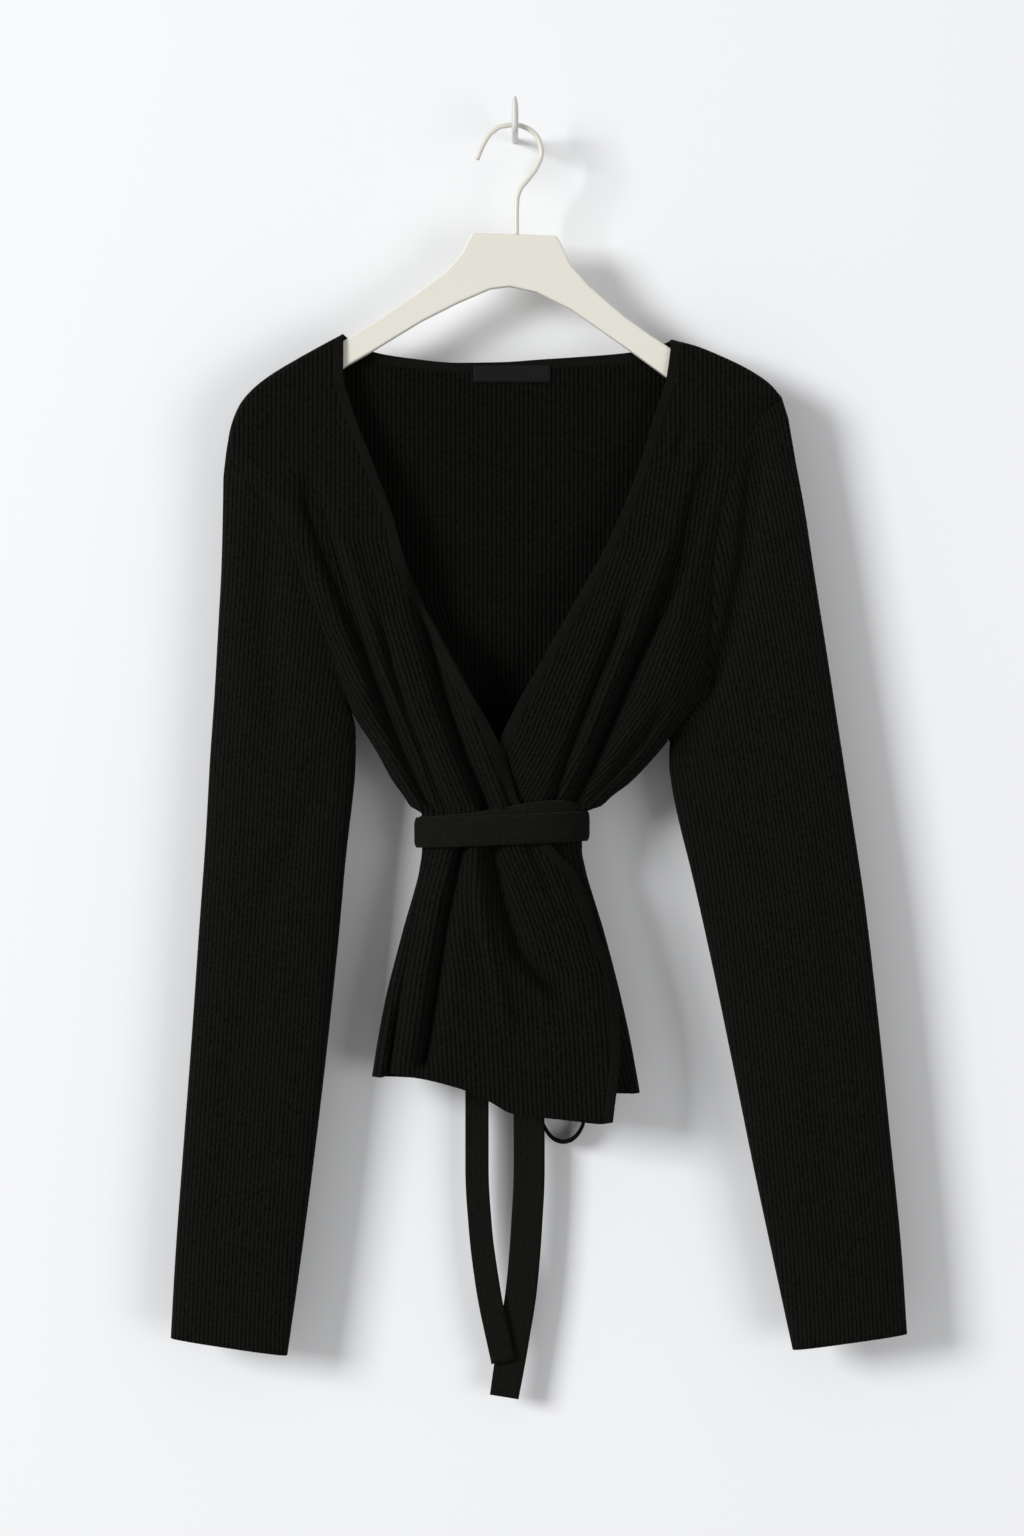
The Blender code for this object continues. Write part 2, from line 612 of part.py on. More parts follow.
def sleeve(side):
    seam, hole = sleeve_start[side]
    flat = seam.copy()
    flat[:, 1] = 0
    lengths = np.concatenate([[0], np.cumsum(np.linalg.norm(np.diff(flat, axis=0), axis=1))])
    shares = lengths / lengths[-1]
    chord = [flat[0] * (1 - f) + flat[-1] * f for f in shares]
    bow = [flat[k] - chord[k] for k in range(len(flat))]
    out = np.array((-1.0 if side == "right" else 1.0, 0.0, 0.0))
    rings = []
    front_part = []
    for k in range(len(seam)):
        along = unit(flat[min(k + 1, len(flat) - 1)] - flat[max(k - 1, 0)])
        square = np.array((-along[2], 0.0, along[0]))
        if np.dot(square, out) < 0:
            square = -square
        front_part.append(seam[k] + square * (TIP_GAP if k < 2 else SLEEVE_GAP))
    ring = front_part + [p * np.array((1, -1, 1)) for p in front_part[-2:0:-1]]
    for p in (ring[0], ring[len(front_part) - 1]):
        p[1] = 0.0
    rings.append(ring)
    for n, (ox, oz, ix, iz, half, keep) in enumerate(SLEEVE[side]):
        a = np.array((ox, 0.0, oz))
        b = np.array((ix, 0.0, iz))
        centre = SLEEVE_CENTRE * step(0, 4, n)
        front_part = []
        for k, f in enumerate(shares):
            place = a * (1 - f) + b * f + bow[k] * keep
            rise = half * max(1.0 - abs(2 * f - 1) ** SLEEVE_ROUND, 0.0) ** (1 / SLEEVE_ROUND)
            place[1] = -rise
            front_part.append(place)
        ring = front_part + [p * np.array((1, -1, 1)) for p in front_part[-2:0:-1]]
        ring = [p + np.array((0, centre, 0)) for p in ring]
        rings.append(ring)
    points = np.array(rings)
    du = np.gradient(points, axis=0)
    dv = (np.roll(points, -1, axis=1) - np.roll(points, 1, axis=1)) / 2
    normals = np.cross(du, dv)
    normals /= np.maximum(np.linalg.norm(normals, axis=2, keepdims=True), 1e-9)
    if normals[5, len(seam) // 2, 1] > 0:
        normals = -normals
    back_hole = [n * np.array((1, -1, 1)) for n in hole[-2:0:-1]]
    normals[0] = np.array(list(hole) + back_hole)
    wall("sleeve_" + side, points, normals, KNIT, knit_sleeve, ring=True)


sleeve("right")
sleeve("left")


# Waist outline just outside the gathered cloth, counter to the clock from the left side
def waist_outline(level, clear):
    left = float(side_x("right", level))
    right = float(side_x("left", level))
    front, back_deep = smooth(DEPTH, level)
    width = float(smooth(ROUNDING, 0.58)[1])
    around = []
    for k in range(WAIST_STEPS):
        angle = 2 * math.pi * k / WAIST_STEPS
        x = (left + right) / 2 - (right - left) / 2 * math.cos(angle)
        reach = min(x - left, right - x)
        deep = front if angle < math.pi else back_deep
        y = deep * cap(reach / width, 2.0) * (-1 if angle < math.pi else 1)
        around.append(np.array((x, y, level)))
    moved = []
    for k, p in enumerate(around):
        d = around[(k + 1) % len(around)] - around[k - 1]
        n = unit(np.array((d[1], -d[0], 0.0)))
        if np.dot(n, p - np.array(((left + right) / 2, 0, level))) < 0:
            n = -n
        moved.append((p + n * clear, n))
    return moved


WAIST_STEPS = 48
BELT_MID = -491.5


def belt_turn(name, clear, lift):
    outline = waist_outline(BELT_MID, clear)
    points = np.zeros((2, WAIST_STEPS, 3))
    normals = np.zeros((2, WAIST_STEPS, 3))
    for k, (p, n) in enumerate(outline):
        angle = 2 * math.pi * k / WAIST_STEPS
        rise = lift * max(math.sin(angle), 0.0) ** 2 * (0.5 - 0.5 * math.cos(angle))
        for r, half in enumerate((0.5, -0.5)):
            points[r, k] = p + np.array((0, 0, rise + half * BELT_WIDTH))
            normals[r, k] = n
    wall(name, points, normals, BELT_THICK, knit_belt, ring=True)


first_turn = KNIT / 2 + 1.0 + BELT_THICK / 2
belt_turn("belt_first_turn", first_turn, 6.0)
belt_turn("belt_second_turn", first_turn + SEAM_GAP + BELT_THICK, 0.0)


# Strap along a path: x, y, z of its middle, its width, the way across as an angle from x towards y
def strap(name, stations, mat):
    path = np.array([s[:3] for s in stations], dtype=float)
    points = np.zeros((len(path), 2, 3))
    normals = np.zeros((len(path), 2, 3))
    for k in range(len(path)):
        a = max(k - 1, 0)
        b = min(k + 1, len(path) - 1)
        along = unit(path[b] - path[a])
        width = stations[k][3]
        angle = math.radians(stations[k][4])
        across = np.array((math.cos(angle), math.sin(angle), 0.0))
        across = unit(across - along * np.dot(across, along))
        n = unit(np.cross(along, across))
        points[k, 0] = path[k] - across * width / 2
        points[k, 1] = path[k] + across * width / 2
        normals[k, :] = n
    return wall(name, points, normals, BELT_THICK, mat)


KNOT = (-4.5, 32.8, BELT_MID)
KNOT_SIZE = (36.0, 10.4, 23.0)
KNOT_FOOT = BELT_MID - KNOT_SIZE[2] / 2 - 3 * SEAM_GAP
TAIL_SHORT = [
    (-15, 33, KNOT_FOOT, 12, 0), (-17.5, 28, -545, 15, 0), (-22, 23, -610, 17.5, 0),
    (-25.5, 20, -670, 18, 0), (-25.5, 19, -730, 18, 0), (-23.5, 18, -772, 17.5, 0),
    (-18.5, 16, -815, 17, 0), (-8, 15, -867, 16, 0),
]
TAIL_LONG = [
    (-1.5, 33, KNOT_FOOT, 12, 0), (0, 29, -530, 14, 0), (3, 25, -560, 17, 0), (6, 21.5, -600, 20, 0),
    (9.3, 20, -660, 21.5, 0), (9.5, 19.5, -730, 21.5, 0), (7.4, 19.5, -772, 21.5, 0),
    (3.5, 19.5, -815, 21, 0), (-3, 19.5, -855, 21, 0), (-9, 19.5, -891, 20, 0),
]
strap("belt_tail_short", TAIL_SHORT, knit_belt)
strap("belt_tail_long", TAIL_LONG, knit_belt)

# Bow loop seen edge on: middle x, half the distance between its strands, z, width
LOOP = [
    (9.0, 2.5, KNOT_FOOT, 9), (15.5, 3.5, -530, 12), (22, 6, -560, 14), (28, 9.5, -600, 15),
    (31.5, 14, -650, 15), (34.2, 15.4, -692, 15),
]
LOOP_Y = 30.5
LOOP_DEEP = 18.0
LOOP_BEND = 6


def bow_loop():
    down = [(x - half, LOOP_Y, z, width, 90) for x, half, z, width in LOOP]
    up_again = [(x + half, LOOP_Y, z, width, 90) for x, half, z, width in LOOP[::-1]]
    x, half, z, width = LOOP[-1]
    bend = []
    for k in range(1, LOOP_BEND):
        angle = math.pi * k / LOOP_BEND
        bend.append((x - half * math.cos(angle), LOOP_Y, z - LOOP_DEEP * math.sin(angle), width, 90))
    strap("belt_bow_loop", down + bend + up_again, knit_belt)


bow_loop()


# Knot at the back of the waist: a soft block
def knot():
    bm = bmesh.new()
    bmesh.ops.create_cube(bm, size=1.0)
    for v in bm.verts:
        v.co = to_world([KNOT[k] + v.co[k] * KNOT_SIZE[k] for k in range(3)])
    obj = add_object("belt_knot", bm, knit_belt)
    bevel = obj.modifiers.new("soft_edges", "BEVEL")
    bevel.width = 3.5 * MM
    bevel.segments = 3
    return obj


knot()

# Neck label on the inside of the back
LABEL = (-29.4, 25.2, -167.5, -179.5)
LABEL_THICK = 0.6
xs = np.linspace(LABEL[0], LABEL[1], 7)
zs = np.linspace(LABEL[2], LABEL[3], 3)
label_points = np.zeros((len(zs), len(xs), 3))
label_normals = np.zeros_like(label_points)
for i, z in enumerate(zs):
    for j, x in enumerate(xs):
        y = stand_off("back", 0.02, x, z, 150.0, 50.0)
        label_points[i, j] = (x, y - KNIT / 2 - 0.5 - LABEL_THICK / 2, z)
        label_normals[i, j] = (0, -1, 0)
wall("neck_label", label_points, label_normals, LABEL_THICK, label_cloth)

# Hanger: upper edge then lower edge, left to right: x, z
HANGER_TOP = [
    (-119, -149.2), (-97.4, -136), (-70, -117.4), (-49.1, -102.1), (-37.9, -89.2), (-29.9, -74.3),
    (28.8, -76.2), (31.2, -79.6), (39.3, -97.3), (52.1, -111.7), (76.2, -132.6), (95.5, -146.5),
    (109.5, -155.4),
]
HANGER_BELOW = [
    (-119, -168), (-100.6, -157.5), (-65.2, -135.9), (-39.5, -123), (-17, -113.3), (-3.4, -111.7),
    (15.1, -115.8), (39.3, -127.8), (63.4, -144.7), (79.4, -155.9), (106, -175.2),
]
ARM_INSET = 2.6
ARM_HEIGHT = 22.0


def hanger():
    right_arm = []
    for k in (3, 6, 8.4):
        x, z = smooth(SHOULDER["right"], k / 11)
        right_arm.append((x, z - ARM_INSET))
    left_arm = []
    for k in (3, 6, 9.2):
        x, z = smooth(SHOULDER["left"], k / 11)
        left_arm.append((x, z - ARM_INSET))
    top = right_arm[::-1] + HANGER_TOP + left_arm
    low_right = [(x + 5, z - ARM_HEIGHT) for x, z in right_arm[::-1]]
    low_left = [(x - 5, z - ARM_HEIGHT) for x, z in left_arm]
    outline = top + (low_right + HANGER_BELOW + low_left)[::-1]
    bm = bmesh.new()
    loops = []
    for y in (-ARM_THICK / 2, ARM_THICK / 2):
        loops.append([bm.verts.new(to_world((x, y, z))) for x, z in outline])
    bm.faces.new(loops[0])
    bm.faces.new(loops[1][::-1])
    n = len(outline)
    for k in range(n):
        bm.faces.new((loops[0][k], loops[1][k], loops[1][(k + 1) % n], loops[0][(k + 1) % n]))
    obj = add_object("hanger", bm, painted_wood)
    bevel = obj.modifiers.new("soft_edges", "BEVEL")
    bevel.width = 1.2 * MM
    bevel.segments = 2
    bevel.limit_method = "ANGLE"
    bevel.angle_limit = math.radians(50)
    return obj


hanger()


# Round bar along a smooth path
def bar(name, path, radius, mat, sides):
    bm = bmesh.new()
    rings = []
    for k, p in enumerate(path):
        a = path[max(k - 1, 0)]
        b = path[min(k + 1, len(path) - 1)]
        along = unit(b - a)
        first = unit(np.cross(along, SIDEWAYS[name]))
        second = np.cross(along, first)
        rad = radius[k] if isinstance(radius, list) else radius
        ring = []
        for m in range(sides):
            angle = 2 * math.pi * m / sides
            way = math.cos(angle) * first + math.sin(angle) * second
            ring.append(bm.verts.new(to_world(p + rad * way)))
        rings.append(ring)
    for k in range(len(rings) - 1):
        for m in range(sides):
            n = (m + 1) % sides
            bm.faces.new((rings[k][m], rings[k][n], rings[k + 1][n], rings[k + 1][m]))
    bm.faces.new(rings[0])
    bm.faces.new(rings[-1][::-1])
    return add_object(name, bm, mat)


SIDEWAYS = {"hanger_hook": np.array((0.0, 1.0, 0.0)), "wall_hook": np.array((1.0, 0.0, 0.0))}
# Middle of the hook wire from its tip to the hanger: share of the way, x, z
HOOK_WIRE = [
    (0.00, -26.7, -22.5), (0.06, -23.0, -13.5), (0.13, -17.0, -4.2), (0.21, -9.0, 0.8),
    (0.29, 0.0, WIRE_RADIUS), (0.37, 9.5, -1.2), (0.46, 16.5, -8.5), (0.54, 18.6, -18.0),
    (0.62, 14.8, -28.5), (0.70, 8.5, -37.0), (0.76, 3.6, -43.5), (0.81, 1.4, -50.5), (0.90, 1.0, -62.0),
    (1.00, 1.0, -75.0),
]
WIRE_STEPS = 34
wire = []
for k in range(WIRE_STEPS):
    x, z = smooth(HOOK_WIRE, k / (WIRE_STEPS - 1))
    wire.append(np.array((x, 0.0, z)))
bar("hanger_hook", wire, WIRE_RADIUS, painted_wire, 8)

# Wall hook: a peg out of the wall under the wire, turned up in front of it: y, z, radius
PEG_Z = -SEAM_GAP - PEG_RADIUS
WALL_HOOK = [
    (WALL_TO_HANGER, PEG_Z, PEG_RADIUS), (20.0, PEG_Z, PEG_RADIUS), (0.0, PEG_Z, PEG_RADIUS),
    (-3.6, PEG_Z, PEG_RADIUS), (-5.8, PEG_Z + 1.0, PEG_RADIUS), (-6.8, PEG_Z + 3.4, PEG_RADIUS),
    (-7.0, 6.0, 2.4), (-7.2, 12.0, 2.2), (-7.4, 18.0, 1.5), (-7.4, 20.5, 0.7),
]
peg = [np.array((0.0, y, z)) for y, z, _ in WALL_HOOK]
bar("wall_hook", peg, [r for _, _, r in WALL_HOOK], painted_hook, 14)
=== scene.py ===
import math

import bpy
import numpy as np
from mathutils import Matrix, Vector


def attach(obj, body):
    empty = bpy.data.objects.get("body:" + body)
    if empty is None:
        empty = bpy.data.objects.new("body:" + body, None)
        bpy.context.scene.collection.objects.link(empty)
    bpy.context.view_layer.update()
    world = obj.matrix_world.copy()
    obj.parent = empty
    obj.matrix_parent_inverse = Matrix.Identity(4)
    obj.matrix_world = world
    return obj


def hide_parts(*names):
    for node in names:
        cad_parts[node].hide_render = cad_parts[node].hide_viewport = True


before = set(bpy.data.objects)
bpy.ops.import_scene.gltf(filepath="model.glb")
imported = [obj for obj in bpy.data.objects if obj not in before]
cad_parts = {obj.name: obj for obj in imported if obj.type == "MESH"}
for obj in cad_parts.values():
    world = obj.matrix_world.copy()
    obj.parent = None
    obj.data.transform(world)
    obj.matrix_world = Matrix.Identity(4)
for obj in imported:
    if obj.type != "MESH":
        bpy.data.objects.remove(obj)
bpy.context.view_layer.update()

MM = 0.001
HANG_POINT = np.array((0.0, -40.0, 2.6))
SEAM_GAP = 0.3
KNIT = 2.0
BAND_WIDTH = 7.0
BELT_WIDTH = 21.0
BELT_THICK = 1.8
BELT_MID = -491.5
UNDERARM = 0.40
# Cloth to one rib on the panels and the sleeves, and to one stitch of the fine knit
RIB = 3.2
SLEEVE_RIB = 2.9
STITCH = 1.5
# The wearer's right is at negative x. INWARD is the way along x into the garment from each side.
SIDES = ("right", "left")
INWARD = {"right": 1.0, "left": -1.0}
FORWARD = np.array((0.0, -1.0, 0.0))
MIRROR = np.array((1.0, -1.0, 1.0))
IN_PLANE = np.array((1.0, 0.0, 1.0))

# Outlines. t runs down the garment, 0 at the shoulder seam, UNDERARM at the underarm, 1 at the hem.
# Armhole seam, then side seam: t, x, z
OUTER = {
    "right": [
        (0, -201.5, -230), (0.05, -188, -249), (0.1, -170, -273), (0.17, -151, -311),
        (0.25, -137, -346), (0.32, -126, -375), (0.4, -115, -406), (0.45, -96.5, -436),
        (0.5, -85, -457), (0.535, -77, -468), (0.55, -72.5, -475), (0.56, -64.6, -480),
        (0.605, -64.2, -505), (0.66, -66, -520), (0.75, -77.4, -562), (0.85, -88, -604),
        (0.93, -95, -640), (1, -99, -665),
    ],
    "left": [
        (0, 186, -191), (0.05, 171, -206), (0.1, 158, -233), (0.17, 146, -265), (0.25, 139, -302),
        (0.32, 137, -347), (0.36, 134, -388), (0.4, 108, -427), (0.45, 92, -446), (0.5, 79, -459),
        (0.535, 67, -468), (0.55, 60, -474.5), (0.56, 46, -480), (0.605, 46, -505), (0.66, 48.5, -520),
        (0.75, 61, -562), (0.85, 72, -604), (0.93, 80, -640), (1, 86.5, -676),
    ],
}
# Free edge of each front, from the neck point down to the hem corner: t, x, z
EDGE = {
    "right": [
        (0, -120, -147), (0.05, -120, -173), (0.1, -114.5, -196), (0.17, -101, -232),
        (0.25, -86, -271), (0.32, -73, -315), (0.4, -50, -361), (0.45, -33, -392), (0.5, -10, -435),
        (0.55, 2.5, -471), (0.605, 25, -502), (0.66, 43.8, -524), (0.75, 57, -562), (0.85, 71, -604),
        (0.93, 73, -645), (1, 68, -695),
    ],
    "left": [
        (0, 109.5, -151), (0.05, 106, -176), (0.1, 97, -206), (0.17, 82, -252), (0.25, 63, -295),
        (0.32, 43, -331), (0.4, 15, -380), (0.45, -3, -413), (0.5, -16, -444), (0.55, -26, -475),
        (0.605, -30, -503), (0.66, -30, -524), (0.75, -30, -562), (0.85, -30, -604), (0.93, -30, -640),
        (1, -30, -672),
    ],
}
# Shoulder line from the neck point out to the shoulder tip: share of the way, x, z
SHOULDER = {
    "right": [
        (0, -120, -147), (0.15, -134, -154.5), (0.35, -152, -164.5), (0.55, -170.3, -175.5),
        (0.7, -182.3, -184.8), (0.82, -191.5, -195.5), (0.92, -198, -211), (1, -201.5, -230),
    ],
    "left": [
        (0, 109.5, -151), (0.2, 126.1, -155.4), (0.42, 146.2, -163.5), (0.64, 164.3, -172.5),
        (0.84, 177.5, -181.6), (1, 186, -191),
    ],
}
# Back neckline between the neck points: share of the way, x, z
NECKLINE = [
    (0, -120, -147), (0.09, -100, -158), (0.2, -76, -162.3), (0.35, -40, -165.7), (0.48, -10, -165.3),
    (0.61, 20, -163.3), (0.74, 50, -161.3), (0.87, 80, -158.6), (1, 109.5, -151),
]
# How far the cloth stands off the hanger's plane: z, front, back
DEPTH = [
    (-900, 20, 13), (-690, 21, 13), (-600, 23, 15), (-530, 25, 19), (-503, 25, 21), (-478, 25, 21),
    (-455, 26, 21), (-400, 24, 17), (-300, 17, 12), (-200, 9.5, 7.5), (-160, 6.2, 6.2),
    (-100, 6.2, 6.2),
]
# Half opening of the armhole, and width and squareness of the rounding at the outer edge:
# t, half opening, width, squareness
ROUNDING = [
    (0, 0, 8, 2), (0.0035, 2.3, 8, 1.8), (0.01, 3.8, 9, 1.5), (0.05, 6.5, 16, 1.15),
    (0.17, 8, 22, 1.15), (0.3, 8, 24, 1.15), (0.365, 6.5, 24, 1.2), (0.385, 4.6, 24, 1.4),
    (0.396, 2.4, 25, 1.8), (0.4, 0, 26, 2), (0.45, 0, 34, 2), (0.535, 0, 40, 2), (0.605, 0, 40, 2),
    (0.7, 0, 34, 2), (1, 0, 24, 2),
]
# Folds of each panel: depth in, half width, then the path as x, z, x, z. A negative depth is a ridge.
FOLDS = {
    "front_right": [
        (16, 6.5, -150, -236, -140, -268, -128, -305, -114, -343, -97, -389, -81, -430, -60, -478),
        (-3, 6, -128, -262, -116, -300, -103, -343, -86, -392, -71, -432),
        (9, 4.5, -98, -330, -86, -378, -74, -415, -61, -445, -48, -478),
        (14, 5.5, -76, -300, -64, -345, -49, -400, -35, -440, -20, -475),
        (-3.5, 6, -58, -310, -47, -350, -33, -400, -20, -440, -9, -475),
        (5, 3.6, -14, -415, -7, -448, -2, -475), (13, 5.4, -36, -503, -48, -556, -57, -615, -63, -652),
        (11, 6.2, -17, -503, -9, -540, 3, -577, 22, -598, 42, -612),
        (-4, 5, -31, -503, -22, -556, -8, -612, -3, -640), (3, 4, 10, -503, 20, -525, 31, -552),
        (14, 3.8, -60, -506, -70, -545, -80, -600, -89, -664),
    ],
    "front_left": [
        (4.5, 4.4, 122, -190, 118, -216, 111, -242), (2.5, 4, 108, -186, 106, -206, 101, -230),
        (16, 7, 141, -222, 131, -257, 119, -295, 106, -329, 87, -369, 67, -416, 52, -450, 38, -478),
        (-2.5, 6, 118, -262, 105, -300, 90, -340, 72, -380, 54, -420, 40, -460),
        (9, 4.6, 84, -318, 68, -362, 52, -402, 37, -440, 24, -478),
        (7, 4.5, 112, -392, 92, -424, 70, -452, 50, -478),
    ],
    "back": [
        (5, 9, -110, -330, -80, -400, -48, -478), (6, 8, -50, -360, -36, -420, -22, -478),
        (5, 8, 40, -340, 26, -410, 10, -478), (6, 9, 90, -350, 62, -420, 30, -478),
        (4, 5, -2, -420, -4, -450, -6, -478), (6, 8, -40, -503, -52, -580, -60, -660),
        (5, 8, 22, -503, 34, -580, 42, -660), (4, 5, -8, -503, -6, -545, -3, -585),
    ],
}
# How far the over front's hem hangs below the straight line between its corners: x, drop
HEM_DROP = [
    (-105, 0), (-94, -1.5), (-86, -6), (-63, -6.5), (-41, -5), (-18, 0.5), (-2, 6), (19, 5), (40, 3.5),
    (57, 2.5), (68, 0),
]

# Rows down the panels and columns across a front that the denser grids are cut from
ROWS = [
    0, 0.0035, 0.010, 0.02, 0.035, 0.05, 0.075, 0.10, 0.135, 0.17, 0.21, 0.25, 0.29, 0.33, 0.365,
    0.385, 0.396, 0.40, 0.425, 0.45, 0.48, 0.51, 0.535, 0.555, 0.58, 0.605, 0.63, 0.66, 0.70, 0.75,
    0.81, 0.87, 0.935, 1.0,
]
COLUMNS = [0, 0.015, 0.04, 0.08, 0.13, 0.19, 0.26, 0.33, 0.40, 0.48, 0.56, 0.64, 0.72, 0.80, 0.90, 1.0]
NECK_COLUMNS = [
    0.006, 0.014, 0.03, 0.06, 0.12, 0.22, 0.35, 0.48, 0.61, 0.74, 0.86, 0.93, 0.97, 0.986, 0.994,
]


# Adds even places between those of a list, none further apart than the limit
def filled(places, limit):
    out = [places[0]]
    for a, b in zip(places[:-1], places[1:]):
        n = max(1, math.ceil((b - a) / limit))
        out += [a + (b - a) * (k + 1) / n for k in range(n)]
    return np.array(out)


T = filled(ROWS, 0.0058)
S = filled(COLUMNS, 0.0112)
Q = filled(NECK_COLUMNS, 0.022)
# Rows along the armhole, and the columns of the back along the neck
HOLE_ROWS = int(np.argmin(np.abs(T - UNDERARM))) + 1
NECK = slice(len(S), len(S) + len(Q))


# Smooth curve through the rows of a table, with no overshoot between them
def smooth(table, t):
    rows = np.array(table, dtype=float)
    ts = rows[:, 0]
    vs = rows[:, 1:]
    t = np.clip(np.asarray(t, dtype=float), ts[0], ts[-1])
    steps = np.diff(ts)
    slopes = np.diff(vs, axis=0) / steps[:, None]
    tangents = np.zeros_like(vs)
    tangents[0] = slopes[0]
    tangents[-1] = slopes[-1]
    same = slopes[:-1] * slopes[1:] > 0
    total = np.where(same, slopes[:-1] + slopes[1:], 1.0)
    tangents[1:-1] = np.where(same, 2.0 * slopes[:-1] * slopes[1:] / total, 0.0)
    i = np.clip(np.searchsorted(ts, t, side="right") - 1, 0, len(ts) - 2)
    h = steps[i]
    q = ((t - ts[i]) / h)[..., None]
    h = h[..., None]
    value = (2 * q**3 - 3 * q**2 + 1) * vs[i] + (q**3 - 2 * q**2 + q) * h * tangents[i]
    value += (3 * q**2 - 2 * q**3) * vs[i + 1] + (q**3 - q**2) * h * tangents[i + 1]
    return value


def blend(a, b, share):
    return a * (1.0 - share) + b * share


# Rises from 0 at a to 1 at b
def step(a, b, v):
    q = np.clip((v - a) / (b - a), 0.0, 1.0)
    return q * q * (3.0 - 2.0 * q)


def unit(v):
    v = np.asarray(v, dtype=float)
    length = np.linalg.norm(v, axis=-1, keepdims=True)
    return v / np.maximum(length, 1e-9)


# How a panel rises from a closed edge: q is the share of the rounding width, p its squareness
def cap(q, p):
    q = np.clip(q, 0.0, 1.0)
    return (1.0 - (1.0 - q) ** p) ** (1.0 / p)


# Running total of steps, from 0
def running(steps):
    return np.concatenate([[0], np.cumsum(steps)])


# Distance from a path given as x, z, x, z; how far along it the nearest point is; its length
def path_distance(x, z, path):
    best = np.full(np.shape(x), 1e9)
    at = np.zeros(np.shape(x))
    along = 0.0
    for ax, az, bx, bz in zip(path[::2], path[1::2], path[2::2], path[3::2]):
        dx = bx - ax
        dz = bz - az
        length = math.hypot(dx, dz)
        q = np.clip(((x - ax) * dx + (z - az) * dz) / length**2, 0.0, 1.0)
        far = np.hypot(x - ax - q * dx, z - az - q * dz)
        nearer = far < best
        best = np.where(nearer, far, best)
        at = np.where(nearer, along + q * length, at)
        along += length
    return best, at, along


# A fold that starts or ends at one of the belt's heights, or ends below HEM_FOLDS, runs on there.
# Elsewhere it fades, over FOLD_FADE at its low end and twice that at its top.
BELT_HEIGHTS = (-478, -475, -503, -506)
HEM_FOLDS = -650
FOLD_FADE = 22.0


def fold_depth(panel, x, z, spread=1.0):
    total = np.zeros(np.shape(x))
    for depth, width, *path in FOLDS[panel]:
        far, at, length = path_distance(x, z, path)
        if path[-1] not in BELT_HEIGHTS and path[-1] > HEM_FOLDS:
            depth = depth * step(0, FOLD_FADE, length - at)
        if path[1] not in BELT_HEIGHTS:
            depth = depth * step(0, 2 * FOLD_FADE, at)
        total += depth * np.exp(-((far / (width * spread)) ** 2))
    return total


# The other columns of an outline at a height
def by_height(table, z):
    rows = [(-row[2], row[0], row[1]) for row in table]
    return smooth(rows, -np.asarray(z, dtype=float))


def side_x(side, z):
    return by_height(OUTER[side], z)[..., 1]


# The over front rounds off OVER_SIDE past the left outline, over a width OVER_EASE larger
OVER_SIDE = 4.4
OVER_EASE = 2.0
ROUND = 2.0
# The under front keeps a layer's room behind the over front and its folds, which count as wider
LAYER = 3.8
FOLD_ROOM = 1.8


def over_rounding(x, z, width):
    return cap((side_x("left", z) + OVER_SIDE - x) / (width + OVER_EASE), ROUND)


# The over front's distance from the hanger's plane, away from its armhole and shoulder
def over_front(x, z):
    t = by_height(OUTER["right"], z)[..., 0]
    deep = smooth(DEPTH, z)[..., 0] - fold_depth("front_right", x, z, FOLD_ROOM)
    width = smooth(ROUNDING, t)[..., 1]
    return deep * cap((x - side_x("right", z)) / width, ROUND) * over_rounding(x, z, width)


# Where the folds come up to full depth: in from the outer edge, and down from the shoulder line
FOLD_REACH = (2, 14)
FOLD_DROP = (4, 30)
LEAST_DEPTH = 0.5
SHOULDER_CAP = 7.0
SHOULDER_SQUARE = 3.0
# Heights below which the over front closes at the left side, and the under front lies behind it
OVER_CLOSES = -440
OVERLAP_TOP = -380
# How far past the over front's edge the under front comes forward again
UNDER_FADE = (6.0, 18.0)
# Further room between the two fronts below the belt, and the heights over which it comes in
SKIRT_ROOM = 4.0
SKIRT_HEIGHTS = (-505, -545)


# Distance of a panel from the hanger's plane.
# reach is the distance from the outer edge, drop the distance below the shoulder line.
def stand_off(panel, t, x, z, reach, drop):
    depths = smooth(DEPTH, z)
    opening, width, square = np.moveaxis(smooth(ROUNDING, t), -1, 0)
    deep = depths[..., 1] if panel == "back" else depths[..., 0]
    if panel == "front_right":
        deep = np.where(z < OVER_CLOSES, deep * over_rounding(x, z, width), deep)
    folded = fold_depth(panel, x, z) * step(*FOLD_REACH, reach) * step(*FOLD_DROP, drop)
    off = opening + np.maximum(deep - folded - opening, LEAST_DEPTH) * cap(reach / width, square)
    if panel == "front_left":
        past_edge = x - by_height(EDGE["right"], z)[..., 1]
        under = (1.0 - step(*UNDER_FADE, past_edge)) * (z < OVERLAP_TOP)
        room = over_front(x, z) - LAYER - SKIRT_ROOM * step(*SKIRT_HEIGHTS, z)
        off = blend(off, np.minimum(off, room), under)
    return off * cap(drop / SHOULDER_CAP, SHOULDER_SQUARE)


# Way along the shoulder line at a neck point
def shoulder_way(side):
    line = np.array(SHOULDER[side], dtype=float)[:, 1:]
    return unit(line[1] - line[0])


# Way square to a line in the hanger's plane, taken over a short span at each place on it
def square_to(table, places, span):
    after = smooth(table, np.minimum(places + span, 1.0))
    before = smooth(table, np.maximum(places - span, 0.0))
    way = unit(after - before)
    return np.stack([way[..., 1], -way[..., 0]], axis=-1)


EDGE_SPAN = 0.01
NECK_SPAN = 0.02
# Shares of the edge and of the neckline over which the way turns to the shoulder line
EDGE_TURN = 0.04
NECK_TURN = 0.09


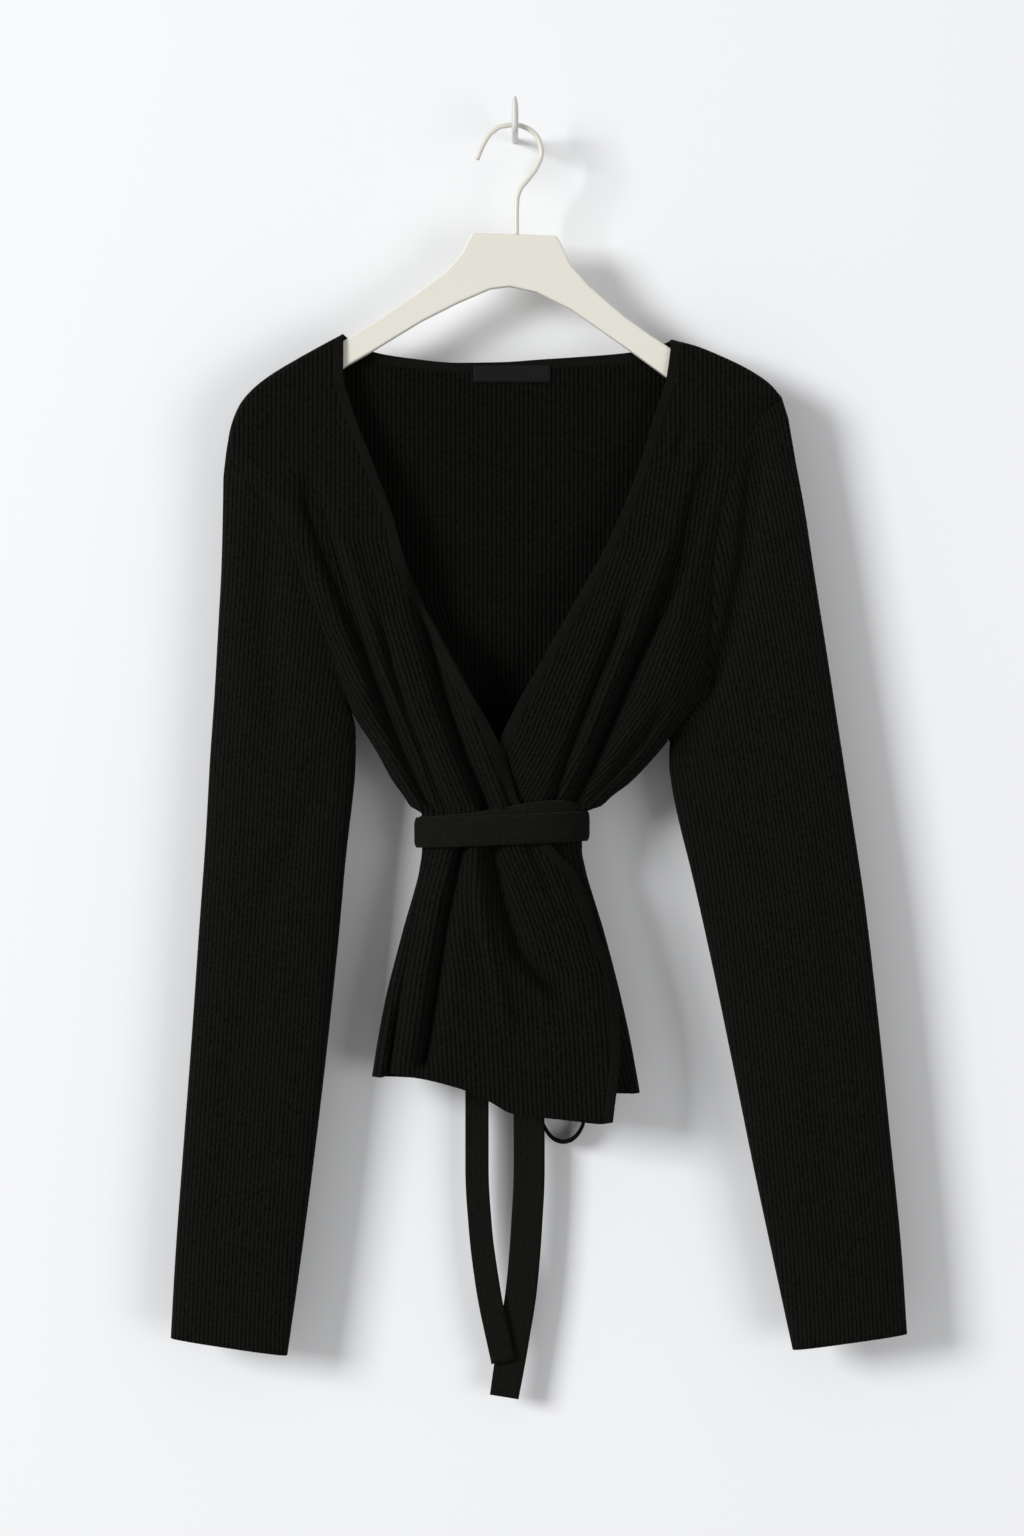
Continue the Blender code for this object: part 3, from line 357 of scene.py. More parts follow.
# Way into the cloth from a front's free edge, square to it in the hanger's plane
def into_cloth(side, t):
    share = np.clip(t / EDGE_TURN, 0.0, 1.0)[..., None]
    square = square_to(EDGE[side], t, EDGE_SPAN) * INWARD[side]
    return unit(blend(shoulder_way(side), square, share))


# Way into the cloth from the back neckline, turning to the shoulder line at both neck points
def neck_way(q):
    near = np.clip(np.minimum(q, 1.0 - q) / NECK_TURN, 0.0, 1.0)[..., None]
    along = np.where((q < 0.5)[..., None], shoulder_way("right"), shoulder_way("left"))
    return unit(blend(along, square_to(NECKLINE, q, NECK_SPAN), near))


# Where the hem starts to drop, and where the lift to the shoulder line ends on front and back
HEM_DROP_START = 0.80
FRONT_LIFT_END = 0.30
BACK_LIFT_END = 0.45


# Points of a front in space, from those in the hanger's plane
def front_place(side, t, here, outer, shoulder):
    t = np.broadcast_to(t, here.shape[:-1])
    if side == "right":
        drop_down = smooth(HEM_DROP, here[..., 0])[..., 0] * step(HEM_DROP_START, 1.0, t)
        here = here - np.stack([0 * drop_down, drop_down], axis=-1)
    reach = np.linalg.norm(here - outer, axis=-1)
    drop = np.linalg.norm(here - shoulder, axis=-1)
    x = here[..., 0]
    z = here[..., 1]
    y = -np.maximum(stand_off("front_" + side, t, x, z, reach, drop), SEAM_GAP / 2)
    return np.stack([x, y, z], axis=-1)


# Shoulder line points for the columns of a front, from the tip in to the band
def shoulder_points(side):
    shares = np.linspace(0.0, 1.0, 401)
    line = smooth(SHOULDER[side], shares)
    away = np.linalg.norm(line - line[0], axis=-1)
    start = shares[int(np.argmax(away > BAND_WIDTH))]
    return smooth(SHOULDER[side], 1.0 - S * (1.0 - start))


# Free edge of a front, the seam of the band inside it, and the outer edge
def front_lines(side):
    edge = smooth(EDGE[side], T)
    inner = edge + into_cloth(side, T) * BAND_WIDTH
    return edge, inner, smooth(OUTER[side], T)


def front_grid(side):
    top = shoulder_points(side)
    edge, inner, outer = front_lines(side)
    level = blend(outer[:, None], inner[:, None], S[None, :, None])
    lift = top - level[0]
    here = level + lift[None] * (1.0 - step(0.0, FRONT_LIFT_END, T))[:, None, None]
    return front_place(side, T[:, None], here, outer[:, None], top[None])


# Ways out of a grid of points, turned to the side that outward points to
def grid_normals(points, outward, ring=False):
    du = np.gradient(points, axis=0)
    if ring:
        dv = (np.roll(points, -1, axis=1) - np.roll(points, 1, axis=1)) / 2
    else:
        dv = np.gradient(points, axis=1)
    n = unit(np.cross(du, dv))
    middle = n[n.shape[0] // 2, n.shape[1] // 3]
    return n if np.dot(middle, outward) > 0 else -n


# Ways out of a line of points, within the hanger's plane
def line_normals(points, up):
    line = points[:, [0, 2]]
    along = unit(np.gradient(line, axis=0))
    n = np.stack([-along[:, 1], np.zeros(len(line)), along[:, 0]], axis=-1)
    flip = np.where(n @ np.asarray(up) > 0, 1.0, -1.0)
    return n * flip[:, None]


# Fronts and back
grids = {side: front_grid(side) for side in SIDES}
neck_start = smooth(NECKLINE, Q)
neck_row = neck_start + neck_way(Q) * BAND_WIDTH
neck_points = np.array([NECKLINE[0][1:], NECKLINE[-1][1:]], dtype=float)
neck_drop = np.min(np.linalg.norm(neck_start[:, None] - neck_points[None], axis=-1), axis=1)
back_top = np.concatenate([shoulder_points("right"), neck_row, shoulder_points("left")[::-1]])


def back_grid():
    left_end = smooth(OUTER["right"], T)
    right_end = smooth(OUTER["left"], T)
    share = (back_top[:, 0] - back_top[0, 0]) / (back_top[-1, 0] - back_top[0, 0])
    chord = blend(back_top[0], back_top[-1], share[:, None])
    rest = blend(left_end[:, None], right_end[:, None], share[None, :, None])
    here = rest + (back_top - chord)[None] * (1.0 - step(0.0, BACK_LIFT_END, T))[:, None, None]
    near_right = np.linalg.norm(here - left_end[:, None], axis=-1)
    near_left = np.linalg.norm(here - right_end[:, None], axis=-1)
    drop = np.linalg.norm(here - back_top[None], axis=-1)
    drop[:, NECK] += neck_drop
    t = np.broadcast_to(T[:, None], drop.shape)
    x = here[..., 0]
    z = here[..., 1]
    off = stand_off("back", t, x, z, np.minimum(near_right, near_left), drop)
    return np.stack([x, np.maximum(off, SEAM_GAP / 2), z], axis=-1)


# Ways out that the panels and the sleeve share along the armhole, shoulder tip to underarm
def armhole_normals(side, edge):
    flat = edge * IN_PLANE
    lengths = running(np.linalg.norm(np.diff(flat, axis=0), axis=1))
    rise = np.gradient(-edge[:, 1], lengths)
    n = unit(-unit(np.gradient(flat, axis=0)) * rise[:, None] + FORWARD)
    n[0] = unit(-(flat[1] - flat[0]) + np.array((-2.0 * INWARD[side], 0, 0)))
    n[-1] = unit(flat[-1] - flat[-2])
    return n


back = back_grid()
normals = {side: grid_normals(grids[side], FORWARD) for side in grids}
back_normals = grid_normals(back, -FORWARD)
# Distance from the armhole over which the ways out turn to the panel's own
HOLE_BLEND = 5.0
holes = {}
for side in SIDES:
    front = grids[side]
    away = np.array((-INWARD[side], 0.0, 0.3))
    hole = armhole_normals(side, front[:HOLE_ROWS, 0])
    shoulder = line_normals(front[0], away * 0.5 + np.array((0.0, 0.0, 1.0)))
    seam = line_normals(front[:, 0], away)
    seam[:HOLE_ROWS] = hole
    back_side = back if side == "right" else back[:, ::-1]
    back_out = back_normals if side == "right" else back_normals[:, ::-1]
    back_side[:HOLE_ROWS, 0, 1] = -front[:HOLE_ROWS, 0, 1]
    for grid, way, mirror in ((front, normals[side], np.ones(3)), (back_side, back_out, MIRROR)):
        near = np.linalg.norm(grid - grid[:, :1], axis=-1) / HOLE_BLEND
        near[0] = 1.0
        near[HOLE_ROWS:] = 1.0
        near = np.clip(near, 0.0, 1.0)[..., None]
        way[:] = unit(blend((seam * mirror)[:, None], way, near))
        way[0, : len(S)] = shoulder
        way[:, 0] = seam * mirror
    holes[side] = (front[:HOLE_ROWS, 0].copy(), hole)


# Band along both fronts and the back of the neck, as one strip
def band_half(side):
    edge, inner, outer = front_lines(side)
    tip = front_place(side, T, edge, outer, smooth(EDGE[side], 0.0))
    root = front_place(side, T, inner, outer, shoulder_points(side)[-1])
    tip[0, 1] = 0.0
    root[0, 1] = 0.0
    return tip, root


tip_right, root_right = band_half("right")
tip_left, root_left = band_half("left")
neck_y = back[0, NECK, 1]
neck_tip = np.stack([neck_start[:, 0], neck_y, neck_start[:, 1]], axis=-1)
neck_root = np.stack([neck_row[:, 0], neck_y, neck_row[:, 1]], axis=-1)
band_tip = np.concatenate([tip_right[::-1], neck_tip, tip_left])
band_root = np.concatenate([root_right[::-1], neck_root, root_left])
along = np.zeros_like(band_tip)
along[1:-1] = band_tip[2:] - band_tip[:-2] + band_root[2:] - band_root[:-2]
along[0] = band_tip[1] - band_tip[0]
along[-1] = band_tip[-1] - band_tip[-2]
band_out = unit(np.cross(along, band_root - band_tip))
if band_out[0, 1] > 0:
    band_out = -band_out
normals["right"][:, -1] = band_out[: len(T)][::-1]
normals["left"][:, -1] = band_out[len(T) + len(Q):]
back_normals[0, len(S) - 1:len(S) + len(Q) + 1] = band_out[len(T) - 1:len(T) + len(Q) + 1]


# Materials. settings are the shader's own values by the name of the socket.
def new_material(name, settings):
    mat = bpy.data.materials.new(name)
    mat.use_nodes = True
    nodes = mat.node_tree.nodes
    shader = nodes["Principled BSDF"]
    for socket, value in settings.items():
        shader.inputs[socket].default_value = value
    return mat, nodes, mat.node_tree.links, shader


# Noise in the piece's own coordinates
def grain(nodes, links, scale, detail):
    noise = nodes.new("ShaderNodeTexNoise")
    noise.inputs["Scale"].default_value = scale
    noise.inputs["Detail"].default_value = detail
    spot = nodes.new("ShaderNodeTexCoord")
    links.new(spot.outputs["Object"], noise.inputs["Vector"])
    return noise.outputs["Fac"]


def add_bump(nodes, links, shader, height, strength, depth):
    bump = nodes.new("ShaderNodeBump")
    bump.inputs["Strength"].default_value = strength
    bump.inputs["Distance"].default_value = depth * MM
    links.new(height, bump.inputs["Height"])
    links.new(bump.outputs[0], shader.inputs["Normal"])


KNIT_SETTINGS = {
    "Roughness": 0.92,
    "Specular IOR Level": 0.02,
    "Sheen Roughness": 0.45,
    "Sheen Tint": (0.9, 0.92, 0.86, 1.0),
}
FUZZ_SCALE = 420.0
FUZZ_DETAIL = 3.0
# Heights are shares of a rib's: a power below 1 makes the rib blunt, and the rows of loops slant
RIB_POWER = 0.6
LOOP_HEIGHT = 0.16
LOOP_SLANT = 9.0
FUZZ_HEIGHT = 0.5
FUZZ_COLOUR = 1.6


# Knit from its own coordinates: u counts ribs, v is millimetres along them
def knit(name, painted_groove_shade, high, sheen, rib_height, stitch, wander):
    mat, nodes, links, shader = new_material(name, {**KNIT_SETTINGS, "Sheen Weight": sheen})

    def calc(kind, a, b=None):
        node = nodes.new("ShaderNodeMath")
        node.operation = kind
        for socket, value in zip(node.inputs, (a, b)):
            if isinstance(value, (int, float)):
                socket.default_value = value
            elif value is not None:
                links.new(value, socket)
        return node.outputs[0]

    place = nodes.new("ShaderNodeUVMap")
    place.uv_map = "knit"
    split = nodes.new("ShaderNodeSeparateXYZ")
    links.new(place.outputs[0], split.inputs[0])
    u = split.outputs[0]
    v = split.outputs[1]
    fuzz = calc("SUBTRACT", grain(nodes, links, FUZZ_SCALE, FUZZ_DETAIL), 0.5)
    shifted = calc("ADD", u, calc("MULTIPLY", fuzz, wander))
    rib = calc("ABSOLUTE", calc("SINE", calc("MULTIPLY", shifted, math.pi)))
    ridge = calc("POWER", rib, RIB_POWER)
    slant = calc("ABSOLUTE", calc("SUBTRACT", calc("FRACT", shifted), 0.5))
    rows = calc("MULTIPLY", v, 2 * math.pi / stitch)
    turned = calc("ADD", rows, calc("MULTIPLY", slant, LOOP_SLANT))
    loops = calc("MULTIPLY", calc("SINE", turned), LOOP_HEIGHT)
    height = calc("ADD", calc("ADD", ridge, loops), calc("MULTIPLY", fuzz, FUZZ_HEIGHT))
    # Colour runs from the rib tops down to painted shade in the grooves, with random heather tone from
    # the fuzz
    mix = nodes.new("ShaderNodeMix")
    mix.data_type = "RGBA"
    mix.inputs[6].default_value = (*painted_groove_shade, 1.0)
    mix.inputs[7].default_value = (*high, 1.0)
    links.new(calc("ADD", ridge, calc("MULTIPLY", fuzz, FUZZ_COLOUR)), mix.inputs[0])
    links.new(mix.outputs[2], shader.inputs["Base Color"])
    add_bump(nodes, links, shader, height, 1.0, rib_height)
    return mat


# Groove colours are painted shade: the dark between the ribs stands in for their shadow
RIB_GROOVE_PAINTED_SHADE = (0.0012, 0.0012, 0.0010)
RIB_HIGH = (0.0079, 0.0079, 0.0066)
# The back is the fronts' knit painted darker as painted shade, and the sleeves the same knit painted
# lighter as painted light
BACK_RIB_TOP_PAINTED_SHADE = (0.0066, 0.0066, 0.0055)
SLEEVE_RIB_TOP_PAINTED_LIGHT = (0.0086, 0.0086, 0.0072)
FINE_GROOVE_PAINTED_SHADE = (0.0040, 0.0040, 0.0033)
FINE_HIGH = (0.0098, 0.0098, 0.0081)
# Groove colour, which is painted shade, and rib-top colour, sheen, rib height, length of a stitch, how
# far the ribs wander
KNITS = {
    "front_rib_knit": (RIB_GROOVE_PAINTED_SHADE, RIB_HIGH, 0.012, 1.0, 2.1, 0.3),
    "back_rib_knit": (RIB_GROOVE_PAINTED_SHADE, BACK_RIB_TOP_PAINTED_SHADE, 0.012, 1.0, 2.1, 0.3),
    "sleeve_rib_knit": (RIB_GROOVE_PAINTED_SHADE, SLEEVE_RIB_TOP_PAINTED_LIGHT, 0.016, 0.8, 2.1, 0.3),
    "fine_knit_band": (FINE_GROOVE_PAINTED_SHADE, RIB_HIGH, 0.02, 0.3, 1.6, 0.4),
    "fine_knit_belt": (FINE_GROOVE_PAINTED_SHADE, FINE_HIGH, 0.025, 0.35, 1.6, 0.4),
}
# Colour, roughness, scale and depth of the grain, specular level
PAINTS = {
    "cream_hanger": ((0.765, 0.745, 0.66), 0.45, 900.0, 0.05, 0.5),
    "cream_wire": ((0.72, 0.70, 0.62), 0.35, 600.0, 0.04, 0.5),
    "white_hook": ((0.62, 0.62, 0.60), 0.35, 600.0, 0.04, 0.5),
    "woven_label": ((0.0110, 0.0110, 0.0112), 0.7, 2400.0, 0.1, 0.03),
}
PAINT_DETAIL = 4.0
PAINT_BUMP = 0.25


def paint(name, colour, roughness, scale, depth, shine):
    settings = {"Roughness": roughness, "Specular IOR Level": shine, "Base Color": (*colour, 1.0)}
    mat, nodes, links, shader = new_material(name, settings)
    add_bump(nodes, links, shader, grain(nodes, links, scale, PAINT_DETAIL), PAINT_BUMP, depth)
    return mat


mats = {name: knit(name, *values) for name, values in KNITS.items()}
mats.update({name: paint(name, *values) for name, values in PAINTS.items()})


# Pieces. Points are in the table's frame; to_world puts them in the part's own frame.
# The cloth is lifted a little at the shoulders, and less and less down to the first of the heights.
CLOTH_LIFT = 1.5
LIFT_HEIGHTS = (-340.0, -200.0)


def to_world(points, cloth):
    lift = CLOTH_LIFT * step(*LIFT_HEIGHTS, points[..., 2]) if cloth else 0.0 * points[..., 2]
    raised = np.stack([points[..., 0], points[..., 1], points[..., 2] + lift], axis=-1)
    return (raised + HANG_POINT) * MM


def add_piece(name, points, faces, slot_name, uvs=None):
    mesh = bpy.data.meshes.new(name)
    mesh.from_pydata(to_world(points, uvs is not None).tolist(), [], faces)
    mesh.materials.append(mats[slot_name])
    if uvs is not None:
        layer = mesh.uv_layers.new(name="knit")
        layer.data.foreach_set("uv", np.asarray(uvs, dtype=np.float32).ravel())
    mesh.polygons.foreach_set("use_smooth", [True] * len(mesh.polygons))
    mesh.update()
    obj = bpy.data.objects.new(name, mesh)
    bpy.context.scene.collection.objects.link(obj)
    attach(obj, "root")
    return obj


# Closed wall from a grid of middle points. zone gives each face's rib coordinates at its corners.
# keep is the sign of y that the wall stays on, half a seam gap off the hanger's plane.
def wall(name, points, out, thick, slot_name, zone, ring=False, keep=0):
    rows, cols = points.shape[:2]
    sides = []
    for half in (0.5, -0.5):
        grid = points + out * thick * half
        if keep:
            grid[..., 1] = keep * np.maximum(grid[..., 1] * keep, SEAM_GAP / 2)
        sides.append(grid.reshape(-1, 3))
    vertices = np.concatenate(sides)
    index = np.arange(rows * cols).reshape(rows, cols)
    if ring:
        index = np.concatenate([index, index[:, :1]], axis=1)
    shift = rows * cols

    def strip(a, b):
        return np.stack([a, b, b + shift, a + shift], axis=-1)

    corners = (index[:-1, :-1], index[:-1, 1:], index[1:, 1:], index[1:, :-1])
    outer = np.stack(corners, axis=-1).reshape(-1, 4)
    groups = [outer, outer[:, ::-1] + shift]
    groups.append(strip(index[0, 1:], index[0, :-1]))
    groups.append(strip(index[-1, :-1], index[-1, 1:]))
    if not ring:
        groups.append(strip(index[:-1, 0], index[1:, 0]))
        groups.append(strip(index[1:, -1], index[:-1, -1]))
    quads = np.concatenate(groups)
    v0, v1, v3 = (vertices[outer[0, k]] for k in (0, 1, 3))
    if np.dot(np.cross(v1 - v0, v3 - v0), out[0, 0]) < 0:
        quads = quads[:, ::-1]
    return add_piece(name, vertices, quads.tolist(), slot_name, zone(points, quads % shift))


# Rib lines. Between two folds the ribs follow the middle line of their zone, and a fold swallows
# the ribs that no longer fit. Per panel: the zone's right limit, then its middle line, as x, z, x, z
# from the top down. Upper is for the bodice and lower for the skirt below the belt.
ZONES = {
    ("front_right", "upper"): [
        ((-146, -290, -130, -299, -116, -339, -96, -389, -80, -430, -57, -478),
         (-150, -290, -146, -320, -138, -350, -122, -385, -105, -415, -86, -445, -66, -478)),
        ((-104, -290, -96, -350, -76, -409, -62, -440, -47, -478),
         (-118, -290, -108, -330, -94, -370, -76, -415, -66, -440, -52, -478)),
        ((-70, -290, -62, -340, -47, -405, -33, -442, -18, -475),
         (-92, -290, -80, -345, -62, -405, -48, -441, -33, -476)),
        ((60, -290, 60, -478),
         (-66, -290, -50, -340, -30, -400, -14, -440, 0, -476)),
    ],
    ("front_right", "lower"): [
        ((-55, -503, -60, -520, -69, -545, -80, -600, -92, -660),
         (-60, -503, -66, -524, -76, -562, -86, -604, -95, -661)),
        ((-38, -503, -49, -556, -59, -628, -61, -665),
         (-47, -503, -57, -540, -66, -590, -75, -655)),
        ((-13, -503, -6, -540, 6, -571, 15, -592, 20, -640, 24, -700),
         (-26, -503, -27, -540, -25, -571, -22, -592, -19, -640, -16, -700)),
        ((160, -500, 160, -700),
         (6, -503, 17, -530, 29, -562, 37, -592, 41, -640, 44, -700)),
    ],
    ("front_left", "upper"): [
        ((140, -236, 130, -257, 118, -295, 106, -329, 86, -369, 66, -416, 52, -450, 38, -478),
         (104, -236, 96, -295, 74, -360, 46, -430, 20, -478)),
        ((240, -236, 240, -478),
         (150, -236, 143, -290, 134, -345, 112, -400, 84, -440, 47, -478)),
    ],
    ("front_left", "lower"): [
        ((160, -500, 160, -700),
         (40, -503, 44, -524, 53, -562, 66, -604, 85, -674)),
    ],
    ("back", "upper"): [
        ((-110, -330, -80, -400, -48, -478),
         (-128, -330, -124, -350, -104, -412, -78, -452, -58, -478)),
        ((-50, -330, -36, -420, -22, -478),
         (-80, -330, -60, -405, -35, -478)),
        ((40, -330, 26, -410, 10, -478),
         (-5, -330, -5, -405, -6, -478)),
        ((94, -330, 62, -420, 30, -478),
         (67, -330, 46, -412, 20, -478)),
        ((240, -330, 240, -478),
         (128, -330, 124, -350, 98, -425, 70, -455, 40, -478)),
    ],
    ("back", "lower"): [
        ((-40, -503, -52, -580, -60, -660),
         (-60, -503, -66, -524, -76, -562, -86, -604, -96, -661)),
        ((22, -503, 34, -580, 42, -660),
         (-9, -503, -9, -670)),
        ((160, -500, 160, -700),
         (34, -503, 38, -524, 48, -562, 60, -604, 74, -674)),
    ],
}


# x of a path at a height
def along_height(path, z):
    return np.interp(z, path[::-2], path[-2::-2])


# Rib coordinates of a panel from its zones
def panel_zone(panel):
    def coordinates(points, corners):
        flat = points.reshape(-1, 3)
        x = flat[:, 0][corners]
        z = flat[:, 2][corners]
        middle_x = x.mean(axis=1)
        middle_z = z.mean(axis=1)
        u = np.zeros(x.shape)
        for part in ("upper", "lower"):
            zones = ZONES[(panel, part)]
            here = middle_z > BELT_MID if part == "upper" else middle_z <= BELT_MID
            chosen = np.full(len(corners), len(zones) - 1)
            for k in range(len(zones) - 2, -1, -1):
                chosen = np.where(middle_x < along_height(zones[k][0], middle_z), k, chosen)
            for k, (_, spine) in enumerate(zones):
                mine = here & (chosen == k)
                top = along_height(spine, max(spine[1::2]))
                u[mine] = (top + x[mine] - along_height(spine, z[mine])) / RIB
        return np.stack([u, -z], axis=-1)
    return coordinates


# Coordinates from the grid itself: across counts columns of stitches, along is in millimetres
def grid_zone(pitch, rows_run_along, closed=False):
    def coordinates(points, corners):
        rows, cols = points.shape[:2]
        if closed:
            points = np.concatenate([points, points[:, :1]], axis=1)
        down = np.linalg.norm(np.diff(points, axis=0), axis=-1).mean(axis=1)
        over = np.linalg.norm(np.diff(points, axis=1), axis=-1).mean(axis=0)
        j = corners % cols
        if closed:
            wraps = (j.max(axis=1) == cols - 1) & (j.min(axis=1) == 0)
            j = np.where(wraps[:, None] & (j == 0), cols, j)
        a = running(down)[corners // cols]
        b = running(over)[j]
        pair = (b / pitch, a) if rows_run_along else (a / pitch, b)
        return np.stack(pair, axis=-1)
    return coordinates


sheets = {}
for side in SIDES:
    panel = "front_" + side
    sheets[panel] = wall(panel + "_cloth", grids[side], normals[side], KNIT, "front_rib_knit",
                         panel_zone(panel), keep=-1)
sheets["back"] = wall("back_cloth", back, back_normals, KNIT, "back_rib_knit",
                      panel_zone("back"), keep=1)
BAND_COLUMNS = 6
band_shares = np.linspace(0, 1, BAND_COLUMNS)
band_grid = np.stack([blend(band_tip, band_root, share) for share in band_shares], axis=1)
band_way = np.repeat(band_out[:, None], BAND_COLUMNS, axis=1)
sheets["front_band"] = wall("front_band_cloth", band_grid, band_way, KNIT, "fine_knit_band",
                            grid_zone(STITCH, True))


# Sleeves. Each section runs from the outer to the inner fold:
# outer x, outer z, inner x, inner z, half depth, how much of the armhole's curve it keeps
SLEEVE = {
    "right": [
        (-203.3, -246, -115, -411, 8.5, 0.8), (-203.8, -275, -113.4, -417, 9.5, 0.5),
        (-204.8, -310, -112.5, -425, 10.5, 0.25), (-207, -350, -112.5, -437, 11.5, 0),
        (-209.5, -395, -113, -452, 12, 0), (-212.8, -443, -115, -473, 12, 0),
        (-215.8, -497, -119, -507, 12, 0), (-220.3, -560, -124.5, -567, 11.5, 0),
        (-225.8, -640, -133, -648, 11, 0), (-231.5, -715, -142, -724, 10, 0),
        (-237, -790, -151.8, -799, 9, 0), (-240.3, -848, -160.5, -860, 8, 0),
    ],
    "left": [
        (190.6, -206, 109.5, -431, 8.5, 1), (195.6, -235, 109, -438, 9.5, 0.8),
        (202.2, -270, 109, -446, 10.5, 0.4), (208.7, -312, 110, -456, 11.5, 0),
        (216, -358, 112.3, -470, 12, 0), (224.8, -415, 116.5, -489, 12, 0),
        (234, -475, 124.5, -521, 12, 0), (244.4, -545, 138, -581, 11.5, 0),
        (254, -628, 153.5, -656, 11, 0), (261.8, -705, 168.5, -730, 10, 0),
        (269.5, -782, 182.8, -797, 9, 0), (273.8, -845, 195.5, -856, 8, 0),
    ],
}
# Squareness of the sections, and how far behind the hanger's plane the sleeve's middle lies
SLEEVE_ROUND = 2.7
SLEEVE_CENTRE = 1.5
# Sections are this share of a table row apart. The first ones lead from the armhole to the table.
SLEEVE_STEP = 0.085
SLEEVE_LEAD = (0.12, 0.3, 0.55, 0.8)
# Lengths over which a trough comes in and fades, the share of it seen behind, and the depth left
TROUGH_START = 30
TROUGH_END = 40
TROUGH_BEHIND = 0.6
LEAST_RISE = 0.25
# Soft troughs down the front of each sleeve: depth in, half width, then the path as x, z, x, z
SLEEVE_FOLDS = {
    "right": [
        (3, 11, -176, -270, -174, -330, -170, -400, -166, -450),
        (2.2, 9, -133, -452, -150, -490, -168, -530, -184, -575),
        (1.6, 12, -190, -600, -196, -680, -200, -760),
    ],
    "left": [
        (9, 7.5, 171, -215, 166, -259, 162, -299, 150, -359, 128, -419),
        (2.5, 9, 124, -470, 150, -482, 178, -512, 196, -552), (2, 12, 214, -480, 224, -560, 232, -640),
        (1.6, 12, 206, -640, 218, -720, 228, -800),
    ],
}


def sleeve_grid(side):
    seam, hole = holes[side]
    flat = seam * IN_PLANE
    lengths = running(np.linalg.norm(np.diff(flat, axis=0), axis=1))
    shares = lengths / lengths[-1]
    bow = flat - blend(flat[0], flat[-1], shares[:, None])
    start = seam.copy()
    start[[0, -1], 1] = 0.0
    table = [(n, *row) for n, row in enumerate(SLEEVE[side])]
    stations = filled(list(range(len(table))), SLEEVE_STEP)
    ox, oz, ix, iz, half, keep = np.moveaxis(smooth(table, stations), -1, 0)
    half_rise = np.maximum(1.0 - np.abs(2 * shares - 1) ** SLEEVE_ROUND, 0.0) ** (1 / SLEEVE_ROUND)
    a = np.stack([ox, 0 * ox, oz], axis=-1)[:, None]
    b = np.stack([ix, 0 * ix, iz], axis=-1)[:, None]
    front = blend(a, b, shares[None, :, None]) + bow[None] * keep[:, None, None]
    rise = half[:, None] * half_rise[None]
    sunk = np.zeros(rise.shape)
    for depth, width, *path in SLEEVE_FOLDS[side]:
        far, at, length = path_distance(front[..., 0], front[..., 2], path)
        trough = depth * np.exp(-((far / width) ** 2))
        sunk += trough * step(0, TROUGH_START, at) * step(0, TROUGH_END, length - at)
    behind = front.copy()
    centre = SLEEVE_CENTRE * step(0, 4, stations)[:, None]
    front[..., 1] = -np.maximum(rise - sunk, LEAST_RISE * rise) + centre
    behind[..., 1] = np.maximum(rise - TROUGH_BEHIND * sunk, LEAST_RISE * rise) + centre
    rings = np.concatenate([front, behind[:, -2:0:-1]], axis=1)
    first = np.concatenate([start, (start * MIRROR)[-2:0:-1]])
    lead = np.array(SLEEVE_LEAD)[:, None, None]
    points = np.concatenate([first[None], blend(first[None], rings[:1], lead), rings])
    way = grid_normals(points, FORWARD, ring=True)
    way[0] = np.concatenate([hole, (hole * MIRROR)[-2:0:-1]])
    return points, way


# Ribs run along the outer fold of a sleeve and are counted from it, over the front and the back
def sleeve_zone(points, corners):
    flat = points.reshape(-1, 3)
    rows, cols = points.shape[:2]
    fold = points[:, 0]
    fold = fold[np.argsort(-fold[:, 2])]
    line_x = np.interp(-flat[:, 2], -fold[:, 2], fold[:, 0])
    lean = np.interp(-flat[:, 2], -fold[:, 2], np.gradient(fold[:, 0], -fold[:, 2]))
    across = np.abs(flat[:, 0] - line_x) / np.hypot(1.0, lean)
    steps = np.linalg.norm(np.diff(points, axis=1), axis=-1)
    level = np.hypot(*np.moveaxis(np.diff(points[..., [0, 2]], axis=1), -1, 0))
    extra = np.concatenate([np.zeros((rows, 1)), np.cumsum(steps - level, axis=1)], axis=1)
    mirrored = extra[:, -1:] - extra
    extra = np.where(np.arange(cols)[None] <= cols // 2, extra, mirrored).reshape(-1)
    u = ((across + extra) / SLEEVE_RIB)[corners]
    v = running(np.linalg.norm(np.diff(points, axis=0), axis=-1).mean(axis=1))[corners // cols]
    return np.stack([u, v], axis=-1)


for side in SIDES:
    points, way = sleeve_grid(side)
    sheets["sleeve_" + side] = wall("sleeve_" + side + "_cloth", points, way, KNIT, "sleeve_rib_knit",
                                    sleeve_zone, ring=True)


# Waist outline just outside the gathered cloth, counter to the clock from the left side
WAIST_STEPS = 240
WAIST_T = 0.58


def waist_outline(clear):
    left = float(side_x("right", BELT_MID))
    right = float(side_x("left", BELT_MID))
    front, back_deep = smooth(DEPTH, BELT_MID)
    width = float(smooth(ROUNDING, WAIST_T)[1])
    angle = 2 * math.pi * np.arange(WAIST_STEPS) / WAIST_STEPS
    x = (left + right) / 2 - (right - left) / 2 * np.cos(angle)
    reach = np.minimum(x - left, right - x)
    in_front = angle < math.pi
    y = np.where(in_front, -front, back_deep) * cap(reach / width, ROUND)
    line = np.stack([x, y, np.full(x.shape, BELT_MID)], axis=-1)
    d = np.roll(line, -1, axis=0) - np.roll(line, 1, axis=0)
    n = unit(np.stack([d[:, 1], -d[:, 0], np.zeros(len(d))], axis=-1))
    centre = np.array(((left + right) / 2, 0, BELT_MID))
    n *= np.where(np.sum(n * (line - centre), axis=1) < 0, -1.0, 1.0)[:, None]
    return line + n * clear, n, angle


BELT_ROWS_ACROSS = 13
